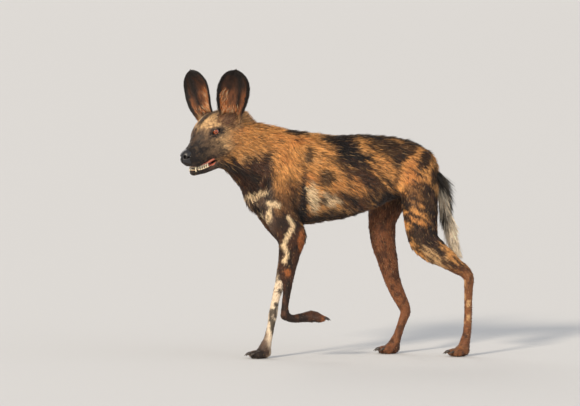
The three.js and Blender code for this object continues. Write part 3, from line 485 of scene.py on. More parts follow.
class Body:
    """The dog's whole shape as one distance field, with a finer field for the head."""

    def __init__(self) -> None:
        """Smooth all chains once."""
        self.torso, self.neck, self.throat = Chain(TORSO), Chain(NECK), Chain(THROAT)
        self.skull, self.jaw = Chain(SKULL), Chain(JAW)
        self.legs = [Chain(s) for s in (FORELEG_LEFT, FORELEG_RIGHT, HINDLEG_LEFT, HINDLEG_RIGHT)]
        self.foot = Chain(FOREFOOT_LEFT)
        self.tail = Chain(TAIL)
        self.dock = Chain(TAIL[:2])

    def head(self, q: Array, fine: bool = False) -> Array:
        """Measure points against the head.

        Args:
            q: Points in the head's frame.
            fine: Whether the lids, lips, nostrils and mouth are there.

        Returns:
            Distances, negative inside.
        """
        d = blend(self.skull.distance(q), self.jaw.distance(q), 10)
        d = blend(d, lump(q, CHEEK, True), BLEND_HEAD)
        d = blend(d, lump(q, BROW, True), 8)
        d = blend(d, lump(q, NOSE), 6)
        for ear in EARS.values():
            r = (q - ear.root()) @ ear.basis().T + (5, 0, 0)
            d = blend(d, ellipsoid(r, (22, 34, 27)), 12)
        return self._details(q, d) if fine else d

    def _details(self, q: Array, d: Array) -> Array:
        """Add whisker pads, lips and lids, and cut the mouth, nostrils and eye openings."""
        a, c = q[:, 0], q[:, 2]
        b = np.abs(q[:, 1])
        d = blend(d, lump(q, WHISKER_PAD, True), 8)
        upper = interp(a, *array(MOUTH_UPPER).T)
        lower = interp(a, *array(MOUTH_LOWER).T)
        ends = smooth(MOUTH_CORNER - 6, MOUTH_CORNER + 4, a) * smooth(111, 100, a)
        for edge, size, lift in ((upper, 2.6, 1.2), (lower, 2.4, -1.4)):
            tube = np.hypot(d, c - edge - lift) - size * ends
            d = blend(d, tube, 3)
        mouth = maximum(maximum(c - upper, lower - c), MOUTH_CORNER - a)
        d = carve(d, mouth, 2.0)
        nostril = ellipsoid((stack([a, b, c], 1) - (122, 9.5, -29)) @ tilt(0, -25, 20), (11, 4.0, 5.0))
        d = carve(d, nostril, 2.0)
        slit = ellipsoid(stack([a, b, c], 1) - (116, 15.5, -32), (9, 5.0, 2.2))
        d = carve(d, slit, 1.5)
        groove = maximum(np.hypot(q[:, 1], (a - 124) * 0.55) - 1.6, c + 30)
        d = carve(d, groove, 1.5)
        for side in (1, -1):
            basis, middle = eye_basis(side)
            e = (q - middle) @ basis.T
            slim = EYE_OPENING[1] * (1 - 0.35 * smooth(2, 11, -e[:, 0] * side))
            almond = (np.hypot(e[:, 0] / EYE_OPENING[0], e[:, 1] / slim) - 1) * EYE_OPENING[1]
            near = e[:, 2] > -14
            ball = norm(e + (0, 0, EYE_DEPTH), axis=1) - EYE_RADIUS
            lid = maximum(ball - 2.6, -(almond + 0.5))
            lid = maximum(lid, almond - 7)
            d = np.where(near, blend(d, lid, 3.5), d)
            hole = maximum(almond, -e[:, 2] - 9)
            d = np.where(near, carve(d, hole, 1.2), d)
            tear = ellipsoid(e - (9.5 * side, -1.5, 0.5), (5.5, 1.6, 5))
            d = np.where(near, carve(d, tear, 1.0), d)
        return d

    def fore(self, p: Array, fine: bool = False) -> Array:
        """Distance from the chest, neck and head."""
        d = self.torso.distance(p)
        d = blend(d, lump(p, (BREAST_AT, BREAST_SIZE)), 30)
        d = blend(d, self.neck.distance(p), 40)
        d = blend(d, self.throat.distance(p), 24)
        return blend(d, self.head(to_head(p), fine), 22)

    def whole(self, p: Array, fine: bool = False) -> Array:
        """Distance from the whole dog, apart from its ears and brush."""
        d = self.fore(p, fine)
        for leg in self.legs:
            d = blend(d, leg.distance(p), BLEND_LIMB)
        d = blend(d, self.foot.distance(p), 6)
        for foot in FEET.values():
            d = blend(d, foot.distance(p), 10)
        return blend(d, self.dock.distance(p), 12)

    def depth(self, p: Array) -> Array:
        """Return how deep the skin lies under the outline of the coat."""
        w = self.weights(p)
        head = 1.0 + 2.6 * smooth(30, -50, to_head(p)[:, 0])
        legs = 2.0 + 2.0 * smooth(250, 420, p[:, 2])
        flat = {Zone.TORSO: 6.0, Zone.NECK: 7.0, Zone.THROAT: 4.0, Zone.TAIL: 4.0}
        total = w[:, Zone.HEAD] * head
        for zone, value in flat.items():
            total += w[:, zone] * value
        total += w[:, Zone.FORE_LEFT : Zone.TAIL].sum(1) * legs
        return total

    def skin(self, p: Array, fine: bool = False) -> Array:
        """Distance from the skin under the coat."""
        return self.whole(p, fine) + self.depth(p)

    def weights(self, p: Array) -> Array:
        """Share each point out among the zones, one column for each."""
        d = stack([
            self.torso.distance(p), self.neck.distance(p), self.throat.distance(p) + 4,
            self.head(to_head(p)), self.legs[0].distance(p) + 8, self.legs[1].distance(p) + 8,
            self.legs[2].distance(p) + 8, self.legs[3].distance(p) + 8, self.tail.distance(p),
        ], 1)
        left = minimum(self.foot.distance(p), FEET["forefoot_left"].distance(p))
        d[:, Zone.FORE_LEFT] = minimum(d[:, Zone.FORE_LEFT], left)
        for zone, name in ((Zone.FORE_RIGHT, "forefoot_right"), (Zone.HIND_LEFT, "hindfoot_left"),
                           (Zone.HIND_RIGHT, "hindfoot_right")):
            d[:, zone] = minimum(d[:, zone], FEET[name].distance(p))
        w = np.exp(-(d - d.min(1, keepdims=True)) / 9.0)
        return w / w.sum(1, keepdims=True)

    def chain_of(self, zone: Zone) -> Chain:
        """Return the chain that a zone's unwrap follows."""
        return [self.torso, self.neck, self.throat, self.skull, *self.legs, self.tail][zone]


def tilt(x: float, y: float, z: float) -> Array:
    """Return the matrix that turns row vectors by three angles, in degrees."""
    ax, ay, az = (radians(v) for v in (x, y, z))
    rx = array([[1, 0, 0], [0, cos(ax), -sin(ax)], [0, sin(ax), cos(ax)]])
    ry = array([[cos(ay), 0, sin(ay)], [0, 1, 0], [-sin(ay), 0, cos(ay)]])
    rz = array([[cos(az), -sin(az), 0], [sin(az), cos(az), 0], [0, 0, 1]])
    return rx @ ry @ rz


def slope(shape: Field, p: Array, step: float = 0.6) -> Array:
    """Return a field's gradient at points.

    Args:
        shape: The field, a function of points.
        p: Points, one in each row.
        step: How far apart the field is read.

    Returns:
        One gradient in each row.
    """
    g = np.zeros_like(p)
    for axis in range(3):
        d = zeros(3)
        d[axis] = step
        g[:, axis] = (shape(p + d) - shape(p - d)) / (2 * step)
    return g


class Net:
    """A closed surface drawn round a field on a grid, with one vertex in each cell that it crosses."""

    COARSE = 4

    def __init__(self, shape: Field, low: tuple, high: tuple, cell: float) -> None:
        """Draw the surface.

        Args:
            shape: The field, a function of points.
            low: The grid's lowest corner.
            high: The grid's highest corner.
            cell: The width of a cell.
        """
        self.shape, self.cell = shape, cell
        self.low = asarray(low, float)
        blocks = np.ceil((asarray(high, float) - self.low) / (cell * self.COARSE)).astype(int)
        values = self._values(blocks)
        self.points, self.faces = self._surface(values)
        self._settle()

    def _values(self, blocks: Array) -> Array:
        """Read the field on the grid, finely only near the surface."""
        step = self.cell * self.COARSE
        axes = [arange(n + 1) * step + o for n, o in zip(blocks, self.low)]
        grid = stack(np.meshgrid(*axes, indexing="ij"), -1).reshape(-1, 3)
        rough = self.shape(grid).reshape(blocks + 1)
        least = np.full(blocks, FAR)
        for c in range(8):
            i, j, k = c & 1, (c >> 1) & 1, c >> 2
            part = rough[i : i + blocks[0], j : j + blocks[1], k : k + blocks[2]]
            least = minimum(least, np.abs(part))
        near = least < step * 1.3
        fine = near.repeat(self.COARSE, 0).repeat(self.COARSE, 1).repeat(self.COARSE, 2)
        mask = zeros(array(fine.shape) + 1, bool)
        for c in range(8):
            i, j, k = c & 1, (c >> 1) & 1, c >> 2
            mask[i : i + fine.shape[0], j : j + fine.shape[1], k : k + fine.shape[2]] |= fine
        sign = np.sign(rough[:-1, :-1, :-1]).repeat(self.COARSE, 0).repeat(self.COARSE, 1)
        sign = sign.repeat(self.COARSE, 2)
        values = np.full(mask.shape, FAR)
        values[:-1, :-1, :-1] = sign * FAR
        where = np.argwhere(mask)
        values[mask] = self.shape(where * self.cell + self.low)
        for axis in range(3):
            for end in (0, -1):
                index = [slice(None)] * 3
                index[axis] = end
                values[tuple(index)] = FAR
        return values

    def _surface(self, values: Array) -> tuple[Array, Array]:
        """Place the vertices and join them into triangles."""
        inside = values < 0
        n = array(values.shape) - 1
        count = zeros(n, int)
        corners = [(c & 1, (c >> 1) & 1, c >> 2) for c in range(8)]
        for i, j, k in corners:
            count += inside[i : i + n[0], j : j + n[1], k : k + n[2]]
        active = (count > 0) & (count < 8)
        cells = np.argwhere(active)
        index = np.full(n, -1)
        index[active] = arange(len(cells))
        v = [values[cells[:, 0] + i, cells[:, 1] + j, cells[:, 2] + k] for i, j, k in corners]
        total = zeros((len(cells), 3))
        crossings = zeros(len(cells))
        for c, corner in enumerate(corners):
            for bit in (1, 2, 4):
                if c & bit:
                    continue
                a, b = v[c], v[c | bit]
                cross = (a < 0) != (b < 0)
                t = np.where(cross, a / np.where(cross, a - b, 1), 0)
                spot = np.tile(array(corner, float), (len(cells), 1))
                spot[:, {1: 0, 2: 1, 4: 2}[bit]] += t
                total += spot * cross[:, None]
                crossings += cross
        points = (cells + total / crossings[:, None]) * self.cell + self.low
        return points, self._quads(inside, index)

    @staticmethod
    def _quads(inside: Array, index: Array) -> Array:
        """Join the cells round each crossed edge."""
        faces = []
        around = (((0, 1, 1), (0, 0, 1), (0, 0, 0), (0, 1, 0)), ((1, 0, 1), (1, 0, 0), (0, 0, 0), (0, 0, 1)),
                  ((1, 1, 0), (0, 1, 0), (0, 0, 0), (1, 0, 0)))
        for axis, offsets in enumerate(around):
            a = [slice(0, -1)] * 3
            b = [slice(0, -1)] * 3
            b[axis] = slice(1, None)
            first, second = inside[tuple(a)], inside[tuple(b)]
            edges = np.argwhere(first != second)
            edges = edges[np.all(np.delete(edges, axis, 1) > 0, axis=1)]
            flip = ~first[edges[:, 0], edges[:, 1], edges[:, 2]]
            quad = [index[tuple((edges - o).T)] for o in offsets]
            q0, q1, q2, q3 = quad
            faces.append(np.where(flip[:, None], stack([q0, q2, q1], 1), stack([q0, q1, q2], 1)))
            faces.append(np.where(flip[:, None], stack([q0, q3, q2], 1), stack([q0, q2, q3], 1)))
        return concatenate(faces)

    def _settle(self) -> None:
        """Move the vertices onto the surface, a short way each."""
        start = self.points.copy()
        for _ in range(3):
            g = slope(self.shape, self.points)
            move = self.shape(self.points) / maximum((g * g).sum(1), 0.25)
            move = clip(move, -0.4 * self.cell, 0.4 * self.cell)
            self.points = self.points - g * move[:, None]
        away = self.points - start
        far = maximum(norm(away, axis=1, keepdims=True) / (0.48 * self.cell), 1.0)
        self.points = start + away / far


def srgb(r: float, g: float, b: float) -> Array:
    """Turn a colour as seen on a screen, 0 to 255, into light."""
    c = array([r, g, b]) / 255.0
    return np.where(c < 0.04045, c / 12.92, ((c + 0.055) / 1.055) ** 2.4)


class Hue(Enum):
    """The colours of the coat."""

    GOLD = (208, 148, 84)
    TAN = (204, 164, 116)
    BLACK = (22, 15, 13)
    BROWN = (70, 42, 27)
    CHESTNUT = (118, 72, 44)
    CREAM = (226, 198, 158)
    WHITE = (230, 214, 190)
    GREY = (98, 78, 66)
    ORANGE = (192, 112, 56)

    @property
    def light(self) -> Array:
        """The colour as light."""
        return srgb(*self.value)


@dataclass(frozen=True)
class Patch:
    """One marking or patch of painted shade on a flank, as an ellipse seen from the side."""

    hue: Hue
    at: tuple[float, float]
    size: tuple[float, float]
    turn: float = 0.0
    rough: float = 0.35
    soft: float = 0.22
    strength: float = 1.0

    def mask(self, x: Array, z: Array, ragged: Array) -> Array:
        """Return how much of each point the marking covers."""
        t = radians(self.turn)
        dx, dz = x - self.at[0], z - self.at[1]
        u = (dx * cos(t) - dz * sin(t)) / self.size[0]
        v = (dx * sin(t) + dz * cos(t)) / self.size[1]
        r = np.hypot(u, v) + ragged * self.rough
        return smooth(1 + self.soft, 1 - self.soft, r) * self.strength


LEFT_PATCHES = [Patch(*row) for row in (
    (Hue.BROWN, (-150, 440), (62, 84), 8, 0.5, 0.35, 0.85),
    (Hue.BLACK, (-116, 462), (16, 52), 0, 1.2, 0.35, 0.5),
    (Hue.BLACK, (-150, 400), (50, 48), 0, 0.6, 0.25, 0.9),
    (Hue.BLACK, (-80, 608), (14, 26), 20, 0.7, 0.3, 0.85),
    (Hue.BROWN, (-94, 550), (8, 50), -4, 0.6, 0.4, 0.7),
    (Hue.BLACK, (-94, 462), (11, 82), -3, 0.4, 0.2),
    (Hue.BLACK, (52, 618), (74, 34), 40, 0.75, 0.2),
    (Hue.BLACK, (24, 650), (60, 15), 12, 0.6, 0.25, 0.95),
    (Hue.BLACK, (170, 630), (56, 28), 30, 1.0, 0.25, 0.9),
    (Hue.BLACK, (204, 596), (12, 26), 40, 0.8, 0.3, 0.85),
    (Hue.BLACK, (-30, 538), (26, 24), 35, 0.9, 0.3, 0.85),
    (Hue.BLACK, (92, 546), (100, 24), 30, 1.2, 0.3, 0.85),
    (Hue.BROWN, (120, 520), (90, 26), 30, 1.2, 0.3, 0.8),
    (Hue.BROWN, (62, 462), (70, 34), 20, 1.0, 0.3, 0.85),
    (Hue.CREAM, (-67, 480), (17, 46), -12, 0.55, 0.2),
    (Hue.CREAM, (-14, 476), (36, 17), 30, 0.9, 0.25, 0.9),
    (Hue.BLACK, (20, 406), (120, 34), 0, 0.7, 0.3, 0.95),
    (Hue.CHESTNUT, (84, 456), (34, 9), 26, 0.9, 0.3, 0.8),
    # Painted shadow: the deep shade in the groin, between the flank fold and the far hind leg, painted black.
    (Hue.BLACK, (178, 472), (42, 30), 20, 0.6, 0.3),
    # Painted shade: a brown band along the hanging fold of the flank in front of the thigh.
    (Hue.BROWN, (196, 548), (7, 60), 8, 0.5, 0.5, 0.7),
    (Hue.BLACK, (240, 634), (22, 22), 55, 0.9, 0.25, 0.85),
    (Hue.BLACK, (284, 590), (18, 48), 40, 1.0, 0.25, 0.95),
    (Hue.BLACK, (314, 540), (18, 34), 20, 0.9, 0.3, 0.95),
    (Hue.BROWN, (262, 500), (30, 60), 30, 1.3, 0.4, 0.7),
    (Hue.BLACK, (300, 436), (30, 96), -4, 1.1, 0.3, 0.9),
    (Hue.BLACK, (276, 362), (54, 38), 10, 0.8, 0.2, 0.95),
    (Hue.TAN, (316, 300), (50, 20), 38, 0.5, 0.3, 0.9),
    (Hue.BLACK, (374, 246), (26, 11), 30, 0.6, 0.25, 0.9),
)]
RIGHT_PATCHES = [Patch(*row) for row in (
    (Hue.BROWN, (-140, 440), (60, 80), 8, 0.4, 0.35, 0.85),
    (Hue.BLACK, (-120, 560), (40, 30), 60, 0.6, 0.25, 0.95),
    (Hue.BLACK, (-90, 460), (16, 80), -6, 0.4, 0.2),
    (Hue.CREAM, (-40, 500), (32, 24), 30, 0.5, 0.25),
    (Hue.BLACK, (20, 590), (70, 28), 30, 0.5, 0.2),
    (Hue.BLACK, (110, 620), (60, 22), 16, 0.6, 0.25, 0.95),
    (Hue.BROWN, (90, 540), (80, 22), 34, 0.7, 0.3, 0.85),
    (Hue.CREAM, (60, 470), (30, 14), 24, 0.5, 0.3, 0.9),
    (Hue.BLACK, (20, 408), (130, 34), 0, 0.45, 0.3, 0.95),
    (Hue.BLACK, (210, 580), (34, 26), 50, 0.6, 0.25, 0.9),
    (Hue.BLACK, (280, 560), (18, 50), 20, 0.6, 0.3, 0.9),
    (Hue.CHESTNUT, (200, 400), (70, 120), 0, 0.5, 0.4, 0.9),
    # Painted shadow: black on the inside of the right thigh, where the belly and the left thigh shade it.
    (Hue.BLACK, (236, 470), (34, 40), 20, 0.9, 0.3, 0.8),
    (Hue.CREAM, (152, 366), (9, 12), 0, 0.5, 0.3, 0.9),
)]
ELBOW_PATCH = Patch(Hue.ORANGE, (-106, 362), (9, 34), 0, 0.9)
WRIST_PATCH = Patch(Hue.ORANGE, (-147, 264), (9, 15), 0, 0.8)
CHEST_PATCHES = [Patch(Hue.CREAM, *row, 0.5) for row in (
    ((-236, 497), (30, 10), -12), ((-194, 466), (24, 10), 10), ((-204, 438), (7, 26), 6),
)]
ZIGZAG = [(-148, 428), (-133, 400), (-150, 376), (-160, 344), (-148, 316), (-158, 296)]
ZIGZAG_WIDTH = 6.5


def paint(base: Array, *layers: tuple[Hue, Array]) -> Array:
    """Lay hues over colours, one after another.

    Args:
        base: Colours as light, one in each row.
        *layers: Each hue, and how much of it shows at each point.

    Returns:
        The mixed colours.
    """
    for hue, mask in layers:
        m = clip(mask, 0, 1)[:, None]
        base = base * (1 - m) + hue.light * m
    return base


class Markings:
    """The coat's colours at any point of the body, with painted shade in the groin, the flank's fold and on
    the chest.
    """

    def __init__(self, body: Body) -> None:
        """Keep the body whose zones the markings follow."""
        self.body = body

    def colour(self, p: Array) -> Array:
        """Return the colour of the coat at points, as light.

        Args:
            p: Points in millimetres, one in each row.

        Returns:
            One colour in each row.
        """
        w = self.body.weights(p)
        lie = self.combed(p)
        ragged = layered(lie, (90, 60, 34), 3) * 0.55 + noise(lie, (40, 24, 6.5), 8) * 0.5
        ragged += noise(lie, (22, 14, 3.2), 9) * 0.3
        c = self._flank(p, ragged)
        c = self._spine(p, c, ragged)
        c = self._legs(p, c, w, ragged)
        c = self._throat(p, c, ragged)
        tail = w[:, Zone.TAIL]
        dark = smooth(560, 520, p[:, 2]) * smooth(330, 345, p[:, 0])
        c = paint(c, (Hue.BLACK, tail * dark))
        face = self.face(to_head(p))
        head = smooth(0.25, 0.75, w[:, Zone.HEAD])[:, None]
        return c * (1 - head) + face * head

    @staticmethod
    def combed(p: Array) -> Array:
        """Turn points so that the first axis runs along the lie of the flank's hair, down and back."""
        lean = radians(34)
        c, s = cos(lean), sin(lean)
        return stack([p[:, 0] * c - p[:, 2] * s, p[:, 1], p[:, 0] * s + p[:, 2] * c], 1)

    def _flank(self, p: Array, ragged: Array) -> Array:
        """Colour the sides, with painted shade in the left groin and flank fold and inside the right thigh.
        """
        c = np.tile(Hue.GOLD.light, (len(p), 1))
        tone = layered(p, (80, 60, 60), 21)
        c = paint(c,
            (Hue.TAN, smooth(0.0, 0.9, tone) * 0.7),
            (Hue.ORANGE, smooth(-0.1, -0.8, tone) * 0.45),
        )
        left = smooth(12, -12, p[:, 1])
        for patches, side in ((LEFT_PATCHES, left), (RIGHT_PATCHES, 1 - left)):
            for patch in patches:
                c = paint(c, (patch.hue, patch.mask(p[:, 0], p[:, 2], ragged) * side))
        streak = noise(self.combed(p), (42, 20, 6.5), 33) + 0.5 * noise(self.combed(p), (24, 12, 3.2), 34)
        streak += 0.4 * ragged
        rear = smooth(-60, 160, p[:, 0])
        low = smooth(560, 480, p[:, 2])
        limit = 0.55 - 0.36 * rear - 0.3 * low
        return paint(c,
            (Hue.BROWN, smooth(limit, limit + 0.25, streak) * (0.55 + 0.35 * rear)),
            (Hue.BLACK, smooth(limit + 0.25, limit + 0.55, streak) * 0.85),
        )

    @staticmethod
    def _spine(p: Array, c: Array, ragged: Array) -> Array:
        """Darken the line of the back, with a gap behind the shoulder."""
        top = smooth(46, 22, np.abs(p[:, 1]) + 22 * ragged) * smooth(600, 640, p[:, 2])
        fore = smooth(-150, -130, p[:, 0]) * smooth(-60, -76, p[:, 0])
        rear = smooth(10, 26, p[:, 0]) * smooth(330, 300, p[:, 0])
        return paint(c, (Hue.BLACK, top * maximum(fore, rear) * 0.95))

    @staticmethod
    def _legs(p: Array, c: Array, w: Array, ragged: Array) -> Array:
        """Colour each leg its own way."""
        x, z = p[:, 0], p[:, 2]
        spot = noise(p, (13, 16, 20), 51) + 0.4 * noise(p, 6, 52)
        fore_left = w[:, Zone.FORE_LEFT] * smooth(410, 370, z)
        c = paint(c,
            (Hue.BROWN, fore_left),
            (Hue.BLACK, fore_left * smooth(-0.25, 0.35, spot) * 0.85),
            (Hue.ORANGE, fore_left * ELBOW_PATCH.mask(x, z, ragged) * 0.6),
            (Hue.ORANGE, fore_left * WRIST_PATCH.mask(x, z, ragged) * 0.6),
            (Hue.ORANGE, fore_left * smooth(-50, -38, x) * smooth(145, 120, z) * 0.6),
        )
        zig = np.full(len(p), FAR)
        for a, b in zip(ZIGZAG[:-1], ZIGZAG[1:]):
            a, b = array(a, float), array(b, float)
            d = stack([x, z], 1) - a
            t = clip((d @ (b - a)) / ((b - a) @ (b - a)), 0, 1)
            zig = minimum(zig, norm(d - t[:, None] * (b - a), axis=1))
        white = smooth(ZIGZAG_WIDTH + 2, ZIGZAG_WIDTH - 3, zig + 4 * ragged) * smooth(-70, -84, p[:, 1])
        c = paint(c, (Hue.CREAM, white))
        fore_right = w[:, Zone.FORE_RIGHT] * smooth(300, 230, z)
        c = paint(c,
            (Hue.WHITE, fore_right * 0.85),
            (Hue.BLACK, fore_right * smooth(0.05, 0.4, spot) * 0.9),
        )
        upper_right = w[:, Zone.FORE_RIGHT] * smooth(420, 380, z) * smooth(230, 290, z)
        c = paint(c,
            (Hue.BROWN, upper_right),
            (Hue.BLACK, upper_right * smooth(0.0, 0.4, spot) * 0.8),
        )
        hind_left = w[:, Zone.HIND_LEFT] * smooth(290, 240, z)
        c = paint(c,
            (Hue.CHESTNUT, hind_left * 0.9),
            (Hue.TAN, hind_left * smooth(0.1, 0.6, spot) * 0.7),
            (Hue.BLACK, hind_left * smooth(0.35, 0.7, -spot) * 0.7),
        )
        hind_right = w[:, Zone.HIND_RIGHT] * smooth(460, 420, z)
        c = paint(c,
            (Hue.CHESTNUT, hind_right * 0.95),
            (Hue.BROWN, hind_right * smooth(-0.1, 0.5, spot) * 0.8),
        )
        feet = w[:, Zone.FORE_LEFT : Zone.TAIL].sum(1) * smooth(70, 30, z)
        return paint(c, (Hue.BROWN, feet * smooth(-0.4, 0.4, spot) * 0.7))

    @staticmethod
    def _throat(p: Array, c: Array, ragged: Array) -> Array:
        """Colour the dark shaggy throat, and the pale chest with grey and black painted shade over its front
        and its own cream patches.
        """
        x, z = p[:, 0], p[:, 2]
        line = 600 + 0.30 * (x + 300) + 34 * ragged
        dark = smooth(line + 14, line - 10, z) * smooth(-180, -206, x + 14 * ragged)
        c = paint(c,
            (Hue.BROWN, dark),
            (Hue.BLACK, dark * smooth(-0.5, 0.3, ragged + noise(p, (22, 22, 9), 61)) * 0.9),
        )
        # Painted shade: the front of the pale chest is painted grey, mottled with black, for the shade on it;
        # the cream patches after it are its own colour.
        chest = smooth(520, 496, z) * smooth(-176, -204, x)
        c = paint(c,
            (Hue.GREY, chest),
            (Hue.BLACK, chest * smooth(-0.3, 0.3, noise(p, (24, 24, 30), 66)) * 0.9),
        )
        for patch in CHEST_PATCHES:
            c = paint(c, (patch.hue, patch.mask(x, z, ragged)))
        return c

    @staticmethod
    def face(q: Array) -> Array:
        """Return the colour of the head at points in the head's frame, as light."""
        a, c = q[:, 0], q[:, 2]
        b = np.abs(q[:, 1])
        grain = noise(q, (9, 7, 7), 71)
        ragged = layered(q, (26, 20, 20), 74)
        out = np.tile(Hue.TAN.light, (len(q), 1))
        out = paint(out,
            (Hue.GOLD, smooth(-30, -80, a) * 0.7),
            (Hue.CREAM, Patch(Hue.CREAM, (-62, -34), (30, 24), 20, 0.6).mask(a, c, ragged) * 0.7),
        )
        low = smooth(-46, -66, c + 10 * ragged) * smooth(-78, -40, a)
        out = paint(out,
            (Hue.BROWN, low),
            (Hue.BLACK, low * smooth(-0.3, 0.4, grain + ragged) * 0.85),
        )
        root = norm((stack([a, b, c], 1) - (-46, 50, 34)) / (40, 30, 34), axis=1)
        out = paint(out,
            (Hue.CHESTNUT, smooth(1.2, 0.6, root + 0.3 * grain) * 0.8),
            (Hue.BROWN, smooth(1.1, 0.6, root + 0.5 * ragged + 0.3 * grain) * 0.8),
        )
        eye = norm((stack([a, b, c], 1) - (14, 48, 10)) / (26, 24, 16), axis=1)
        out = paint(out, (Hue.GREY, smooth(1.5, 0.9, eye + 0.4 * grain) * 0.75))
        muzzle = smooth(6, 34, a + 14 * ragged + 12 * grain - 0.45 * (c + 20))
        out = paint(out,
            (Hue.GREY, muzzle * 0.8),
            (Hue.BLACK, muzzle * clip(0.62 + 0.25 * grain + 0.4 * smooth(30, 90, a), 0, 1)),
            (Hue.BLACK, smooth(1.2, 0.7, eye + 0.25 * grain) * 0.97),
        )
        stripe = smooth(14, 7, b + 7 * ragged) * smooth(60, 20, a) * smooth(-70, -40, a)
        out = paint(out, (Hue.BLACK, stripe * smooth(10, 24, c) * 0.95))
        speck = smooth(-0.1, 0.5, noise(q, (6, 3.2, 3.2), 78)) * smooth(-15, 20, c) * smooth(-80, -40, a)
        return paint(out, (Hue.BROWN, speck * 0.55))


@dataclass(frozen=True)
class CoatFinish:
    """How a coat's hair takes light."""

    roughness: float = 0.62
    sheen: float = 0.08
    tip: float = 0.35
    strand: float = 0.0012
    bump: float = 0.35


@dataclass(frozen=True)
class PlainFinish:
    """A bare surface such as nose leather, gum, tooth or claw."""

    name: str
    dark: tuple[float, float, float]
    pale: tuple[float, float, float]
    roughness: float
    coat: float
    grain: float
    bump: float
    inner: float = 0.0


NOSE_LEATHER = PlainFinish("nose_leather", (9, 9, 11), (34, 32, 35), 0.38, 0.35, 0.0016, 0.5)
GUM = PlainFinish("gum", (140, 66, 50), (206, 126, 98), 0.35, 0.5, 0.004, 0.15, 0.2)
TONGUE = PlainFinish("tongue", (168, 78, 72), (214, 126, 116), 0.4, 0.45, 0.0012, 0.3, 0.2)
IVORY = PlainFinish("tooth_ivory", (190, 168, 128), (240, 230, 206), 0.28, 0.3, 0.003, 0.06, 0.1)
CLAW = PlainFinish("claw_horn", (18, 14, 12), (70, 56, 46), 0.4, 0.1, 0.002, 0.2)


def add_node(tree: NodeTree, kind: str, values: dict | None = None, **settings) -> Node:
    """Add a node to a tree.

    Args:
        tree: The tree.
        kind: The node's type.
        values: What each input gets: a value, or the output that feeds it.
        **settings: The node's own settings.

    Returns:
        The node.
    """
    node = tree.nodes.new(kind)
    for key, value in settings.items():
        setattr(node, key, value)
    for key, value in (values or {}).items():
        if isinstance(value, NodeSocket):
            tree.links.new(value, node.inputs[key])
        else:
            node.inputs[key].default_value = value
    return node


def in_scene(made: Object) -> Object:
    """Put an object into the scene."""
    bpy.context.scene.collection.objects.link(made)
    return made


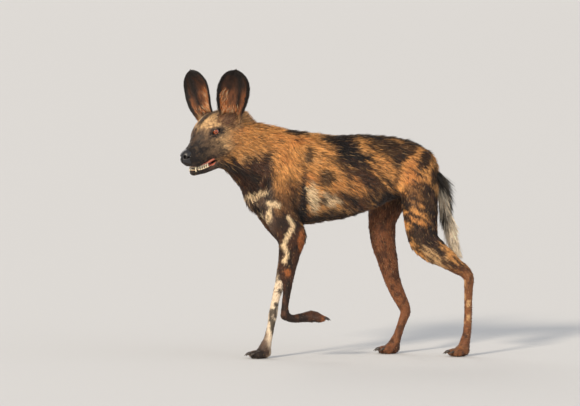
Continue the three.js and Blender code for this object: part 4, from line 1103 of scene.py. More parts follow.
class Finishes:
    """Makes the materials, with the shader groups that they share."""

    def __init__(self) -> None:
        """Build the shared groups."""
        self.strands = self._strand_group()
        self.grain = self._grain_group()

    @staticmethod
    def _group(name: str, inputs: list[tuple]) -> tuple[NodeTree, dict, NodeSocket]:
        """Start a shader group that puts out a colour and a height.

        Args:
            name: The group's name.
            inputs: Name, socket type and value of each input.

        Returns:
            The group, its inputs, and one over its width.
        """
        tree = bpy.data.node_groups.new(name, "ShaderNodeTree")
        for label, kind, value in inputs:
            tree.interface.new_socket(label, in_out="INPUT", socket_type=kind).default_value = value
        for label, kind in (("Colour", "NodeSocketColor"), ("Height", "NodeSocketFloat")):
            tree.interface.new_socket(label, in_out="OUTPUT", socket_type=kind)
        source = tree.nodes.new("NodeGroupInput").outputs
        scale = add_node(tree, "ShaderNodeMath", {0: 1.0, 1: source["Width"]}, operation="DIVIDE")
        return tree, source, scale.outputs[0]

    def _strand_group(self) -> NodeTree:
        """Colour that varies from hair to hair, and the height of fine strands."""
        tree, source, scale = self._group("coat_strands", [
            ("Colour", "NodeSocketColor", (0.5, 0.5, 0.5, 1)), ("Width", "NodeSocketFloat", 0.0012),
            ("Variation", "NodeSocketFloat", 0.3),
        ])
        place = add_node(tree, "ShaderNodeTexCoord").outputs["Object"]
        fine = add_node(tree, "ShaderNodeTexNoise", {
            "Vector": place, "Scale": scale, "Detail": 3.0, "Roughness": 0.65,
        })
        height = fine.outputs["Fac"]
        spread = add_node(tree, "ShaderNodeMapRange", {
            "Value": height, "From Min": 0.3, "From Max": 0.7, "To Min": 0.55, "To Max": 1.45,
        })
        product = add_node(tree, "ShaderNodeMix", data_type="RGBA", blend_type="MULTIPLY")
        for socket, value in ((0, source["Variation"]), (6, source["Colour"]), (7, spread.outputs[0])):
            tree.links.new(value, product.inputs[socket])
        add_node(tree, "NodeGroupOutput", {"Colour": product.outputs[2], "Height": height})
        return tree

    def _grain_group(self) -> NodeTree:
        """Two colours mixed by a grain, and the grain's height."""
        tree, source, scale = self._group("bare_grain", [
            ("Dark", "NodeSocketColor", (0, 0, 0, 1)), ("Pale", "NodeSocketColor", (1, 1, 1, 1)),
            ("Width", "NodeSocketFloat", 0.002),
        ])
        place = add_node(tree, "ShaderNodeTexCoord").outputs["Object"]
        cells = add_node(tree, "ShaderNodeTexVoronoi", {"Vector": place, "Scale": scale}, feature="SMOOTH_F1")
        soft = add_node(tree, "ShaderNodeTexNoise", {"Vector": place, "Scale": 90.0, "Detail": 4.0})
        mix = add_node(tree, "ShaderNodeMix", data_type="RGBA")
        for socket, value in ((0, soft.outputs["Fac"]), (6, source["Dark"]), (7, source["Pale"])):
            tree.links.new(value, mix.inputs[socket])
        add_node(tree, "NodeGroupOutput", {"Colour": mix.outputs[2], "Height": cells.outputs["Distance"]})
        return tree

    @staticmethod
    def _material(name: str, values: dict) -> tuple[Material, NodeTree, Node]:
        """Start a material.

        Args:
            name: The material's name.
            values: What the shader's inputs get.

        Returns:
            The material, its tree and its shader.
        """
        material = bpy.data.materials.new(name)
        material.use_nodes = True
        shader = material.node_tree.nodes["Principled BSDF"]
        for key, value in values.items():
            shader.inputs[key].default_value = value
        return material, material.node_tree, shader

    @staticmethod
    def _bump(tree: NodeTree, height: NodeSocket, strength: float, depth: float) -> None:
        """Feed a height to the shader's normal."""
        bump = add_node(tree, "ShaderNodeBump", {"Strength": strength, "Distance": depth, "Height": height})
        tree.links.new(bump.outputs["Normal"], tree.nodes["Principled BSDF"].inputs["Normal"])

    def coat(self, name: str, finish: CoatFinish, tufts: bool) -> Material:
        """Make a coat material that reads its colour from the mesh.

        Args:
            name: The material's name.
            finish: How the hair takes light.
            tufts: Whether it is for tufts, which lighten towards their tips.

        Returns:
            The material.
        """
        material, tree, shader = self._material(name, {
            "Roughness": finish.roughness, "Sheen Weight": finish.sheen, "Sheen Roughness": 0.4,
            "Specular IOR Level": 0.3,
        })
        source = add_node(tree, "ShaderNodeAttribute", attribute_name="coat_colour").outputs["Color"]
        if tufts:
            along = add_node(tree, "ShaderNodeAttribute", attribute_name="along").outputs["Fac"]
            lift = add_node(tree, "ShaderNodeMapRange", {
                "Value": along, "To Min": ROOT_SHADE, "To Max": 1.0 + finish.tip,
            })
            product = add_node(tree, "ShaderNodeMix", data_type="RGBA", blend_type="MULTIPLY")
            product.inputs[0].default_value = 1.0
            tree.links.new(source, product.inputs[6])
            tree.links.new(lift.outputs[0], product.inputs[7])
            source = product.outputs[2]
        strands = add_node(tree, "ShaderNodeGroup", node_tree=self.strands)
        strands.inputs["Width"].default_value = finish.strand
        strands.inputs["Variation"].default_value = 0.35 if tufts else 0.6
        tree.links.new(source, strands.inputs["Colour"])
        tree.links.new(strands.outputs["Colour"], shader.inputs["Base Color"])
        if not tufts:
            self._bump(tree, strands.outputs["Height"], finish.bump, 0.0012)
        return material

    def bare(self, finish: PlainFinish) -> Material:
        """Make the material of a bare surface.

        Args:
            finish: Its colours and how it takes light.

        Returns:
            The material.
        """
        material, tree, shader = self._material(finish.name, {
            "Roughness": finish.roughness, "Coat Weight": finish.coat, "Subsurface Weight": finish.inner,
            "Subsurface Radius": (0.004, 0.002, 0.001),
        })
        grain = add_node(tree, "ShaderNodeGroup", node_tree=self.grain)
        grain.inputs["Dark"].default_value = (*srgb(*finish.dark), 1)
        grain.inputs["Pale"].default_value = (*srgb(*finish.pale), 1)
        grain.inputs["Width"].default_value = finish.grain
        tree.links.new(grain.outputs["Colour"], shader.inputs["Base Color"])
        self._bump(tree, grain.outputs["Height"], finish.bump, 0.0006)
        return material

    def eye(self) -> Material:
        """Make the eye's material from its own colour attribute."""
        material, tree, shader = self._material("wet_eye", {
            "Roughness": 0.12, "Coat Weight": 1.0, "Coat Roughness": 0.03,
        })
        colour = add_node(tree, "ShaderNodeAttribute", attribute_name="coat_colour")
        tree.links.new(colour.outputs["Color"], shader.inputs["Base Color"])
        return material

    def floor(self) -> Material:
        """Make the studio floor's material."""
        material, tree, shader = self._material("studio_floor", {"Roughness": 0.85})
        soft = add_node(tree, "ShaderNodeTexNoise", {"Scale": 3.0})
        ramp = add_node(tree, "ShaderNodeMapRange", {
            "Value": soft.outputs["Fac"], "To Min": 0.60, "To Max": 0.64,
        })
        tree.links.new(ramp.outputs[0], shader.inputs["Base Color"])
        return material


def write(mesh: bpy.types.Mesh, label: str, kind: str, values: Array) -> None:
    """Store values on a mesh's points.

    Args:
        mesh: The mesh.
        label: The attribute's name.
        kind: Its type, which is a colour for values of three channels and an opaque fourth.
        values: One value in each row.
    """
    layer = mesh.attributes.new(label, kind, "POINT")
    if kind == "FLOAT_COLOR":
        values = concatenate([values, np.ones((len(values), 1))], 1)
    key = {"FLOAT": "value", "FLOAT_VECTOR": "vector", "FLOAT_COLOR": "color"}[kind]
    layer.data.foreach_set(key, asarray(values, np.float32).ravel())


def mesh_object(
    name: str, points: Array, faces: Array, colours: Array | None = None,
) -> Object:
    """Make a smooth-shaded object from points in millimetres.

    Args:
        name: The object's name.
        points: Its points in the body's frame.
        faces: Its triangles.
        colours: One colour for each point, as light.

    Returns:
        The new object, linked to the scene.
    """
    mesh = bpy.data.meshes.new(name)
    points = (asarray(points, float) - CENTRE) * MM
    faces = asarray(faces, np.int32)
    mesh.vertices.add(len(points))
    mesh.vertices.foreach_set("co", points.astype(np.float32).ravel())
    mesh.loops.add(faces.size)
    mesh.loops.foreach_set("vertex_index", faces.ravel())
    mesh.polygons.add(len(faces))
    mesh.polygons.foreach_set("loop_start", arange(0, faces.size, faces.shape[1], dtype=np.int32))
    mesh.polygons.foreach_set("use_smooth", np.ones(len(faces), bool))
    mesh.update(calc_edges=True)
    if colours is not None:
        write(mesh, "coat_colour", "FLOAT_COLOR", colours)
    return in_scene(bpy.data.objects.new(name, mesh))


def finish_piece(made: Object, material: Material, nodes: tuple = ()) -> None:
    """Give a piece its material and body, and hide the nodes that it stands for."""
    made.data.materials.clear()
    made.data.materials.append(material)
    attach(made, "root")
    if nodes:
        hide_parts(*nodes)
    LOG.info("%s: %d faces", made.name, len(made.data.polygons))


FLESH = (
    "torso", "neck", "head", "lower_jaw", "foreleg_left", "forefoot_left", "foreleg_right", "forefoot_right",
    "hindleg_left", "hindfoot_left", "hindleg_right", "hindfoot_right", "tail",
)


@dataclass
class Skin:
    """The skin of the whole dog, with a finer net for the head."""

    body: Body
    markings: Markings
    cell: float = 5.5
    head_cell: float = 1.7
    seam: float = -66.0
    cut: float = -262.0
    nets: list[Net] = field(default_factory=list)

    def build(self, finishes: Finishes) -> Object:
        """Draw both nets and join them into one piece.

        Args:
            finishes: Makes the materials.

        Returns:
            The skin.
        """
        def trunk(p: Array) -> Array:
            """Distance from the body without the face."""
            ahead = minimum(to_head(p)[:, 0] - self.seam - 6, self.cut - p[:, 0])
            return maximum(self.body.skin(p) + 0.5, ahead)

        def head(p: Array) -> Array:
            """Distance from the face and the front of the ruff."""
            return maximum(self.body.skin(p, True), self.seam - to_head(p)[:, 0])

        self.nets = [
            Net(trunk, (-330, -150, -6), (480, 150, 740), self.cell),
            Net(head, (-515, -150, 500), (-254, 90, 775), self.head_cell),
        ]
        points = concatenate([n.points for n in self.nets])
        faces = concatenate([self.nets[0].faces, self.nets[1].faces + len(self.nets[0].points)])
        colours = self.markings.colour(points)
        made = mesh_object("dog_skin", points, faces, colours)
        finish_piece(made, finishes.coat("skin_coat", CoatFinish(), False), FLESH)
        return made


@dataclass(frozen=True)
class HairStyle:
    """How the hair grows in one zone."""

    length: float
    width: float
    cover: float
    stand: float


STYLES = {
    Zone.TORSO: HairStyle(22, 1.9, 2.3, 0.20),
    Zone.NECK: HairStyle(25, 1.9, 2.4, 0.24),
    Zone.THROAT: HairStyle(40, 2.0, 2.6, 0.42),
    Zone.HEAD: HairStyle(8, 1.0, 1.7, 0.20),
    Zone.FORE_LEFT: HairStyle(12, 1.5, 1.6, 0.18),
    Zone.FORE_RIGHT: HairStyle(12, 1.5, 1.6, 0.18),
    Zone.HIND_LEFT: HairStyle(13, 1.5, 1.6, 0.18),
    Zone.HIND_RIGHT: HairStyle(13, 1.5, 1.6, 0.18),
    Zone.TAIL: HairStyle(26, 1.9, 2.4, 0.25),
}


@dataclass
class Tufts:
    """Roots of tufts, with all that one tuft needs."""

    at: Array
    way: Array
    out: Array
    size: Array
    colour: Array
    uv: Array

    def part(self, keep: Array) -> Tufts:
        """Return only the chosen tufts."""
        return Tufts(*(getattr(self, f)[keep] for f in ("at", "way", "out", "size", "colour", "uv")))

    def __len__(self) -> int:
        """How many tufts there are."""
        return len(self.at)


def tuft_mesh(name: str, rings: int, bend: float, flat: float) -> Object:
    """Make one closed tapered tuft of length and width one, growing along Z and bending towards -X.

    Args:
        name: The object's name.
        rings: How many rings it has below its tip.
        bend: How far the tip bends over.
        flat: Its thickness as a share of its width.

    Returns:
        The tuft, to be placed by Geometry Nodes.
    """
    points, faces, along = [], [], []
    for i in range(rings):
        t = i / rings
        half = 0.5 * math.sqrt(1 - t) * (0.8 + 0.5 * t)
        off = -bend * t * t
        for x, y in ((0.7 * flat, 0.0), (-0.4 * flat, 1.0), (-0.4 * flat, -1.0)):
            points.append((off + x * half * 2, y * half, t))
            along.append(t)
    points.append((-bend, 0.0, 1.0))
    along.append(1.0)
    tip = 3 * rings
    for i in range(rings - 1):
        for k in range(3):
            a, b = 3 * i + k, 3 * i + (k + 1) % 3
            faces += [(a, b, b + 3), (a, b + 3, a + 3)]
    for k in range(3):
        faces.append((tip - 3 + k, tip - 3 + (k + 1) % 3, tip))
    faces.append((0, 2, 1))
    mesh = bpy.data.meshes.new(name)
    mesh.from_pydata(points, [], faces)
    mesh.polygons.foreach_set("use_smooth", np.ones(len(faces), bool))
    write(mesh, "along", "FLOAT", along)
    write(mesh, "tuft_place", "FLOAT_VECTOR", [(p[1], p[2], 0) for p in points])
    return in_scene(bpy.data.objects.new(name, mesh))


UV_PATCH = 0.003
ROOT_SHADE = 0.72


class Planter:
    """Turns tuft roots into meshes with Geometry Nodes."""

    def __init__(self) -> None:
        """Build the tree and the tufts that it places."""
        self.short = tuft_mesh("short_tuft", 2, 0.10, 0.35)
        self.long = tuft_mesh("long_lock", 5, 0.16, 0.3)
        self.tree = self._tree()

    def _tree(self) -> NodeTree:
        """Build the tree: place, turn and size a tuft on each root, keep its colour, and unwrap it."""
        tree = bpy.data.node_groups.new("plant_tufts", "GeometryNodeTree")
        face = tree.interface
        face.new_socket("Geometry", in_out="INPUT", socket_type="NodeSocketGeometry")
        face.new_socket("Tuft", in_out="INPUT", socket_type="NodeSocketObject")
        face.new_socket("Material", in_out="INPUT", socket_type="NodeSocketMaterial")
        patch = face.new_socket("Patch", in_out="INPUT", socket_type="NodeSocketFloat")
        patch.default_value = UV_PATCH
        face.new_socket("Geometry", in_out="OUTPUT", socket_type="NodeSocketGeometry")
        source = tree.nodes.new("NodeGroupInput").outputs

        def named(name: str) -> NodeSocket:
            """Return the output that reads a root's attribute."""
            kind = "GeometryNodeInputNamedAttribute"
            return add_node(tree, kind, {"Name": name}, data_type="FLOAT_VECTOR").outputs[0]

        info = add_node(tree, "GeometryNodeObjectInfo", {"Object": source["Tuft"]})
        points = add_node(tree, "GeometryNodeMeshToPoints", {"Mesh": source["Geometry"]})
        turn = add_node(tree, "FunctionNodeAxesToRotation", {
            "Primary Axis": named("way"), "Secondary Axis": named("out"),
        }, primary_axis="Z", secondary_axis="X")
        place = add_node(tree, "GeometryNodeInstanceOnPoints", {
            "Points": points.outputs[0], "Instance": info.outputs["Geometry"], "Rotation": turn.outputs[0],
            "Scale": named("tuft_size"),
        })
        real = add_node(tree, "GeometryNodeRealizeInstances", {0: place.outputs[0]})
        spread = add_node(tree, "ShaderNodeVectorMath", operation="SCALE")
        tree.links.new(named("tuft_place"), spread.inputs[0])
        tree.links.new(source["Patch"], spread.inputs["Scale"])
        total = add_node(tree, "ShaderNodeVectorMath", {0: spread.outputs[0], 1: named("root_uv")})
        store = add_node(tree, "GeometryNodeStoreNamedAttribute", data_type="FLOAT2", domain="CORNER")
        store.inputs["Name"].default_value = "OFBake"
        tree.links.new(real.outputs[0], store.inputs["Geometry"])
        tree.links.new(total.outputs[0], store.inputs["Value"])
        dress = add_node(tree, "GeometryNodeSetMaterial", {
            0: store.outputs[0], "Material": source["Material"],
        })
        add_node(tree, "NodeGroupOutput", {0: dress.outputs[0]})
        return tree

    def plant(self, name: str, tufts: Tufts, material: Material, long: bool = False) -> Object:
        """Make one piece of coat.

        Args:
            name: The piece's name.
            tufts: Its roots.
            material: Its material.
            long: Whether it is made of long locks.

        Returns:
            The piece, as a plain mesh.
        """
        roots = bpy.data.meshes.new(name + "_roots")
        roots.vertices.add(len(tufts))
        roots.vertices.foreach_set("co", ((tufts.at - CENTRE) * MM).astype(np.float32).ravel())
        for label, values in (("way", tufts.way), ("out", tufts.out), ("tuft_size", tufts.size * MM),
                              ("root_uv", tufts.uv)):
            write(roots, label, "FLOAT_VECTOR", values)
        write(roots, "coat_colour", "FLOAT_COLOR", tufts.colour)
        holder = in_scene(bpy.data.objects.new(name + "_holder", roots))
        modifier = holder.modifiers.new("plant", "NODES")
        modifier.node_group = self.tree
        sockets = {s.name: s.identifier for s in self.tree.interface.items_tree if s.in_out == "INPUT"}
        modifier[sockets["Tuft"]] = self.long if long else self.short
        modifier[sockets["Material"]] = material
        modifier[sockets["Patch"]] = UV_PATCH
        shown = holder.evaluated_get(bpy.context.evaluated_depsgraph_get())
        mesh = bpy.data.meshes.new_from_object(shown)
        mesh.name = name
        for label in ("way", "out", "tuft_size", "root_uv", "tuft_place"):
            layer = mesh.attributes.get(label)
            if layer:
                mesh.attributes.remove(layer)
        bpy.data.objects.remove(holder)
        bpy.data.meshes.remove(roots)
        return in_scene(bpy.data.objects.new(name, mesh))

    def clear(self) -> None:
        """Remove the tufts that were placed."""
        for made in (self.short, self.long):
            mesh = made.data
            bpy.data.objects.remove(made)
            bpy.data.meshes.remove(mesh)


class Coat:
    """The short hair all over the body, in tufts that follow its lie."""

    SEED = 11
    LIMIT = 19000

    def __init__(self, body: Body, markings: Markings, skin: Skin) -> None:
        """Keep what the coat grows on."""
        self.body, self.markings, self.skin = body, markings, skin
        self.random = default_rng(self.SEED)

    def lie(self, p: Array, normal: Array, w: Array) -> Array:
        """Return the way that the hair lies, along the skin.

        Args:
            p: Points on the skin.
            normal: The skin's normals there.
            w: The points' shares in the zones.

        Returns:
            One direction in each row.
        """
        total = np.zeros_like(p)
        drop = smooth(680, 470, p[:, 2])[:, None]
        back = array([1.0, 0.0, -0.22]) + drop * array([-0.22, 0.0, -0.42])
        total += w[:, [Zone.TORSO]] * back
        total += w[:, [Zone.NECK]] * array([0.86, 0.0, -0.5])
        total += w[:, [Zone.THROAT]] * array([0.66, 0.0, -0.75])
        q = to_head(p)
        rear = array([-1.0, 0.0, 0.06]) @ HEAD
        side = np.sign(q[:, 1])[:, None] * (array([0.0, 1.0, 0.0]) @ HEAD)
        up = array([0.0, 0.0, 1.0]) @ HEAD
        low = smooth(-40, -80, q[:, 2])[:, None]
        brow = smooth(0, 40, q[:, 2])[:, None] * smooth(40, 0, q[:, 0])[:, None]
        head = rear + 0.35 * side * brow + 0.3 * up * brow - 0.35 * up * low
        total += w[:, [Zone.HEAD]] * head
        for zone in (Zone.FORE_LEFT, Zone.FORE_RIGHT, Zone.HIND_LEFT, Zone.HIND_RIGHT):
            _, _, way = self.body.chain_of(zone).coordinates(p)
            total += w[:, [zone]] * way
        raised = smooth(-152, -128, p[:, 0]) * smooth(170, 140, p[:, 2]) * smooth(-30, -45, p[:, 1])
        total = total * (1 - raised[:, None]) + raised[:, None] * array([1.0, 0.0, 0.0])
        _, _, way = self.body.tail.coordinates(p)
        total += w[:, [Zone.TAIL]] * way
        swirl = stack([noise(p, 70, 90 + k) for k in range(3)], 1) * 0.22
        total = unit(total) + swirl
        return unit(total - normal * (total * normal).sum(1, keepdims=True))

    def grow(self) -> Tufts:
        """Choose the roots over the whole skin, and size and colour each tuft."""
        at = self._roots()
        shape = self.body.skin
        normal = unit(slope(shape, at))
        w = self.body.weights(at)
        length, width, stand = (sum(w[:, z] * getattr(s, f) for z, s in STYLES.items())
                                for f in ("length", "width", "stand"))
        q = to_head(at)
        face = smooth(-50, 60, q[:, 0]) * w[:, Zone.HEAD]
        length *= 1 - 0.5 * face
        width *= 1 - 0.15 * face
        cheek = w[:, Zone.HEAD] * smooth(-40, -75, q[:, 0])
        length += 14 * cheek
        legs = w[:, Zone.FORE_LEFT : Zone.TAIL].sum(1)
        low = smooth(330, 120, at[:, 2]) * legs
        length *= 1 - 0.45 * low
        rear = w[:, Zone.HIND_LEFT] * smooth(300, 322, at[:, 0]) * smooth(330, 400, at[:, 2])
        length *= 1 + 0.7 * rear
        random = self.random
        length *= 0.75 + 0.5 * random.random(len(at))
        width *= 0.8 + 0.4 * random.random(len(at))
        way = self.lie(at, normal, w)
        clump = stack([noise(at, 14, 130 + k) for k in range(3)], 1)
        way = unit(way + 0.28 * clump + 0.16 * random.standard_normal((len(at), 3)))
        way = unit(way - normal * (way * normal).sum(1, keepdims=True))
        stand = stand * (0.7 + 0.6 * random.random(len(at))) * (1 + 0.5 * clump[:, 0])
        along = unit(way + normal * stand[:, None])
        seen = at + along * length[:, None] * 0.2
        colour = self.markings.colour(seen + 2.2 * random.standard_normal(at.shape))
        face = w[:, Zone.HEAD]
        pick = random.random(len(at))
        neck = w[:, Zone.NECK] * smooth(560, 600, at[:, 2])
        colour = paint(colour,
            (Hue.BLACK, (pick < 0.15 + 0.08 * face - 0.11 * neck) * 0.7),
            (Hue.TAN, (pick > 0.93 - 0.2 * face) * 0.45),
        )
        shade = 1 + 0.26 * random.standard_normal(len(at)) + 0.2 * clump[:, 1]
        colour = clip(colour * clip(shade, 0.5, 1.6)[:, None], 0.003, 1)
        size = stack([width, width, length], 1)
        return Tufts(at - normal * 0.6, along, normal, size, colour, self._unwrap(at, w))

    def _roots(self) -> Array:
        """Spread roots over the skin, more where tufts are small."""
        chosen = []
        for net, head in zip(self.skin.nets, (False, True)):
            corner = net.points[net.faces]
            middle = corner.mean(1)
            area = norm(np.cross(corner[:, 1] - corner[:, 0], corner[:, 2] - corner[:, 0]), axis=1) / 2
            w = self.body.weights(middle)
            rate = sum(w[:, z] * s.cover / (s.length * s.width) for z, s in STYLES.items())
            q = to_head(middle)
            face = smooth(-40, 60, q[:, 0]) * w[:, Zone.HEAD]
            rate *= 1 + 0.9 * face
            ahead = (q[:, 0] > self.skin.seam + 1) & (middle[:, 0] < self.skin.cut)
            hidden = ~ahead if head else ahead
            inner = zeros(len(middle), bool)
            if head:
                inner = self._bare(middle)
            ground = middle[:, 2] < 2.5
            rate = rate * area * ~(hidden | inner | ground)
            run = concatenate([[0.0], np.cumsum(rate)])
            count = int(run[-1])
            spots = (arange(count) + self.random.random(count)) * run[-1] / count
            face_index = clip(np.searchsorted(run, spots) - 1, 0, len(rate) - 1)
            u, v = self.random.random((2, count, 1))
            over = u + v > 1
            u, v = np.where(over, 1 - u, u), np.where(over, 1 - v, v)
            c = corner[face_index]
            chosen.append(c[:, 0] + u * (c[:, 1] - c[:, 0]) + v * (c[:, 2] - c[:, 0]))
        return concatenate(chosen)

    def _bare(self, p: Array) -> Array:
        """Say which points of the head carry no hair: nose leather, eye openings, lips and mouth."""
        q = to_head(p)
        a, c = q[:, 0], q[:, 2]
        nose = nose_mask(q) > 0.4
        upper = interp(a, *array(MOUTH_UPPER).T)
        lower = interp(a, *array(MOUTH_LOWER).T)
        mouth = (a > MOUTH_CORNER - 2) & (c < upper + 2.2) & (c > lower - 2.4)
        eyes = zeros(len(p), bool)
        for side in (1, -1):
            basis, middle = eye_basis(side)
            e = (q - middle) @ basis.T
            near = np.hypot(e[:, 0] / (EYE_OPENING[0] + 2.5), e[:, 1] / (EYE_OPENING[1] + 2.2)) < 1
            eyes |= near & (e[:, 2] > -12)
        return nose | mouth | eyes

    def _unwrap(self, p: Array, w: Array) -> Array:
        """Place each root on an unwrap of the skin: one tile for each zone, along and round its chain."""
        tile = w.argmax(1)
        uv = zeros((len(p), 3))
        q = to_head(p)
        for zone in Zone:
            mine = tile == zone
            if not mine.any():
                continue
            local = q[mine] if zone is Zone.HEAD else p[mine]
            share, turn, _ = self.body.chain_of(zone).coordinates(local)
            column, row = zone % 3, zone // 3
            uv[mine, 0] = (column + 0.03 + 0.93 * share) / 3
            uv[mine, 1] = (row + 0.03 + 0.93 * turn) / 3
        return uv

    def build(self, finishes: Finishes, planter: Planter) -> None:
        """Make the coat's pieces, each under the limit of tufts."""
        tufts = self.grow()
        material = finishes.coat("coat_tufts", CoatFinish(), True)
        w = self.body.weights(tufts.at)
        tile = w.argmax(1)
        groups = {
            "coat_trunk": tile == Zone.TORSO, "coat_neck": (tile == Zone.NECK) | (tile == Zone.THROAT),
            "coat_head": tile == Zone.HEAD, "coat_forelegs": (tile == 4) | (tile == 5),
            "coat_hindlegs": (tile == 6) | (tile == 7), "coat_tail": tile == Zone.TAIL,
        }
        for name, mine in groups.items():
            chosen = np.flatnonzero(mine)
            chosen = chosen[np.argsort(tufts.at[chosen, 0])]
            parts = max(1, math.ceil(len(chosen) / self.LIMIT))
            for k, some in enumerate(np.array_split(chosen, parts)):
                made = planter.plant(f"{name}_{k + 1}", tufts.part(some), material)
                finish_piece(made, material)


def nose_mask(q: Array) -> Array:
    """Return 1 on the nose leather and 0 on the hair, for points in the head's frame."""
    a, b, c = q[:, 0], np.abs(q[:, 1]), q[:, 2]
    top = smooth(99, 104, a - 0.12 * (c + 30)) * smooth(21, 18.5, b)
    split = smooth(-50, -45, c + 0.9 * maximum(b - 8, 0) - 3)
    lip_line = smooth(3.4, 1.8, b) * smooth(-66, -60, c) * smooth(99, 104, a)
    return maximum(top * split, lip_line)


@dataclass
class Nose:
    """The nose leather: a thin shell over the front of the muzzle."""

    body: Body
    lift: float = 0.5
    cell: float = 1.0

    def build(self, finishes: Finishes) -> Object:
        """Draw the leather where the mask says."""
        def leather(p: Array) -> Array:
            """Distance from the shell under the mask."""
            skin = self.body.skin(p, True)
            mask = nose_mask(to_head(p))
            shell = maximum(skin - self.lift, -skin - 3.0)
            return maximum(shell, (0.5 - mask) * 3.0)

        net = Net(leather, (-512, -118, 566), (-440, -30, 656), self.cell)
        made = mesh_object("nose_leather_pad", net.points, net.faces)
        finish_piece(made, finishes.bare(NOSE_LEATHER), ("nose",))
        return made


@dataclass
class Eye:
    """One eye: a ball with a raised cornea, coloured from pupil to white."""

    side: int
    name: str
    rings: int = 40
    around: int = 48
    iris: float = 8.6
    pupil: float = 2.8

    def build(self, finishes: Finishes) -> Object:
        """Make the ball, from the pole in front of the pupil backwards."""
        basis, middle = eye_basis(self.side)
        centre = middle - basis[2] * EYE_DEPTH
        polar = np.linspace(0, pi, self.rings + 1)
        turn = arange(self.around) * 2 * pi / self.around
        points, colour = [], []
        for angle in polar:
            bulge = 1 + 0.10 * math.exp(-((angle / 0.55) ** 2))
            for t in turn if 0 < angle < pi else turn[:1]:
                d = array([sin(angle) * cos(t), sin(angle) * sin(t), cos(angle)])
                points.append(d * EYE_RADIUS * bulge * 0.985)
                colour.append(self._colour(sin(angle) * EYE_RADIUS if angle < 1.57 else 99, t))
        faces = self._faces()
        world = from_head(array(points) @ basis + centre)
        made = mesh_object(self.name, world, array(faces), array(colour))
        finish_piece(made, finishes.eye(), (self.name.replace("_ball", ""),))
        return made

    def _colour(self, r: float, t: float) -> Array:
        """Colour the pupil, the amber iris with its rays and dark rim, and the dark white."""
        ray = 0.85 + 0.15 * sin(23 * t) * sin(7 * t + 1.3)
        inner, outer = srgb(172, 76, 12), srgb(92, 34, 6)
        s = min(max((r - self.pupil) / (self.iris - self.pupil), 0), 1)
        iris = (inner * (1 - s) + outer * s) * ray
        if r < self.pupil:
            return srgb(8, 6, 6)
        return iris if r < self.iris - 0.7 else srgb(26, 16, 12)

    def _faces(self) -> list[tuple[int, int, int]]:
        """Join the rings into triangles."""
        faces = []
        start = [0] + [1 + k * self.around for k in range(self.rings - 1)]
        last = 1 + (self.rings - 1) * self.around
        for k in range(self.around):
            m = (k + 1) % self.around
            faces.append((0, start[1] + k, start[1] + m))
            faces.append((start[-1] + m, start[-1] + k, last))
            for i in range(1, self.rings - 1):
                a, b = start[i], start[i + 1]
                faces += [(a + k, b + k, b + m), (a + k, b + m, a + m)]
        return faces


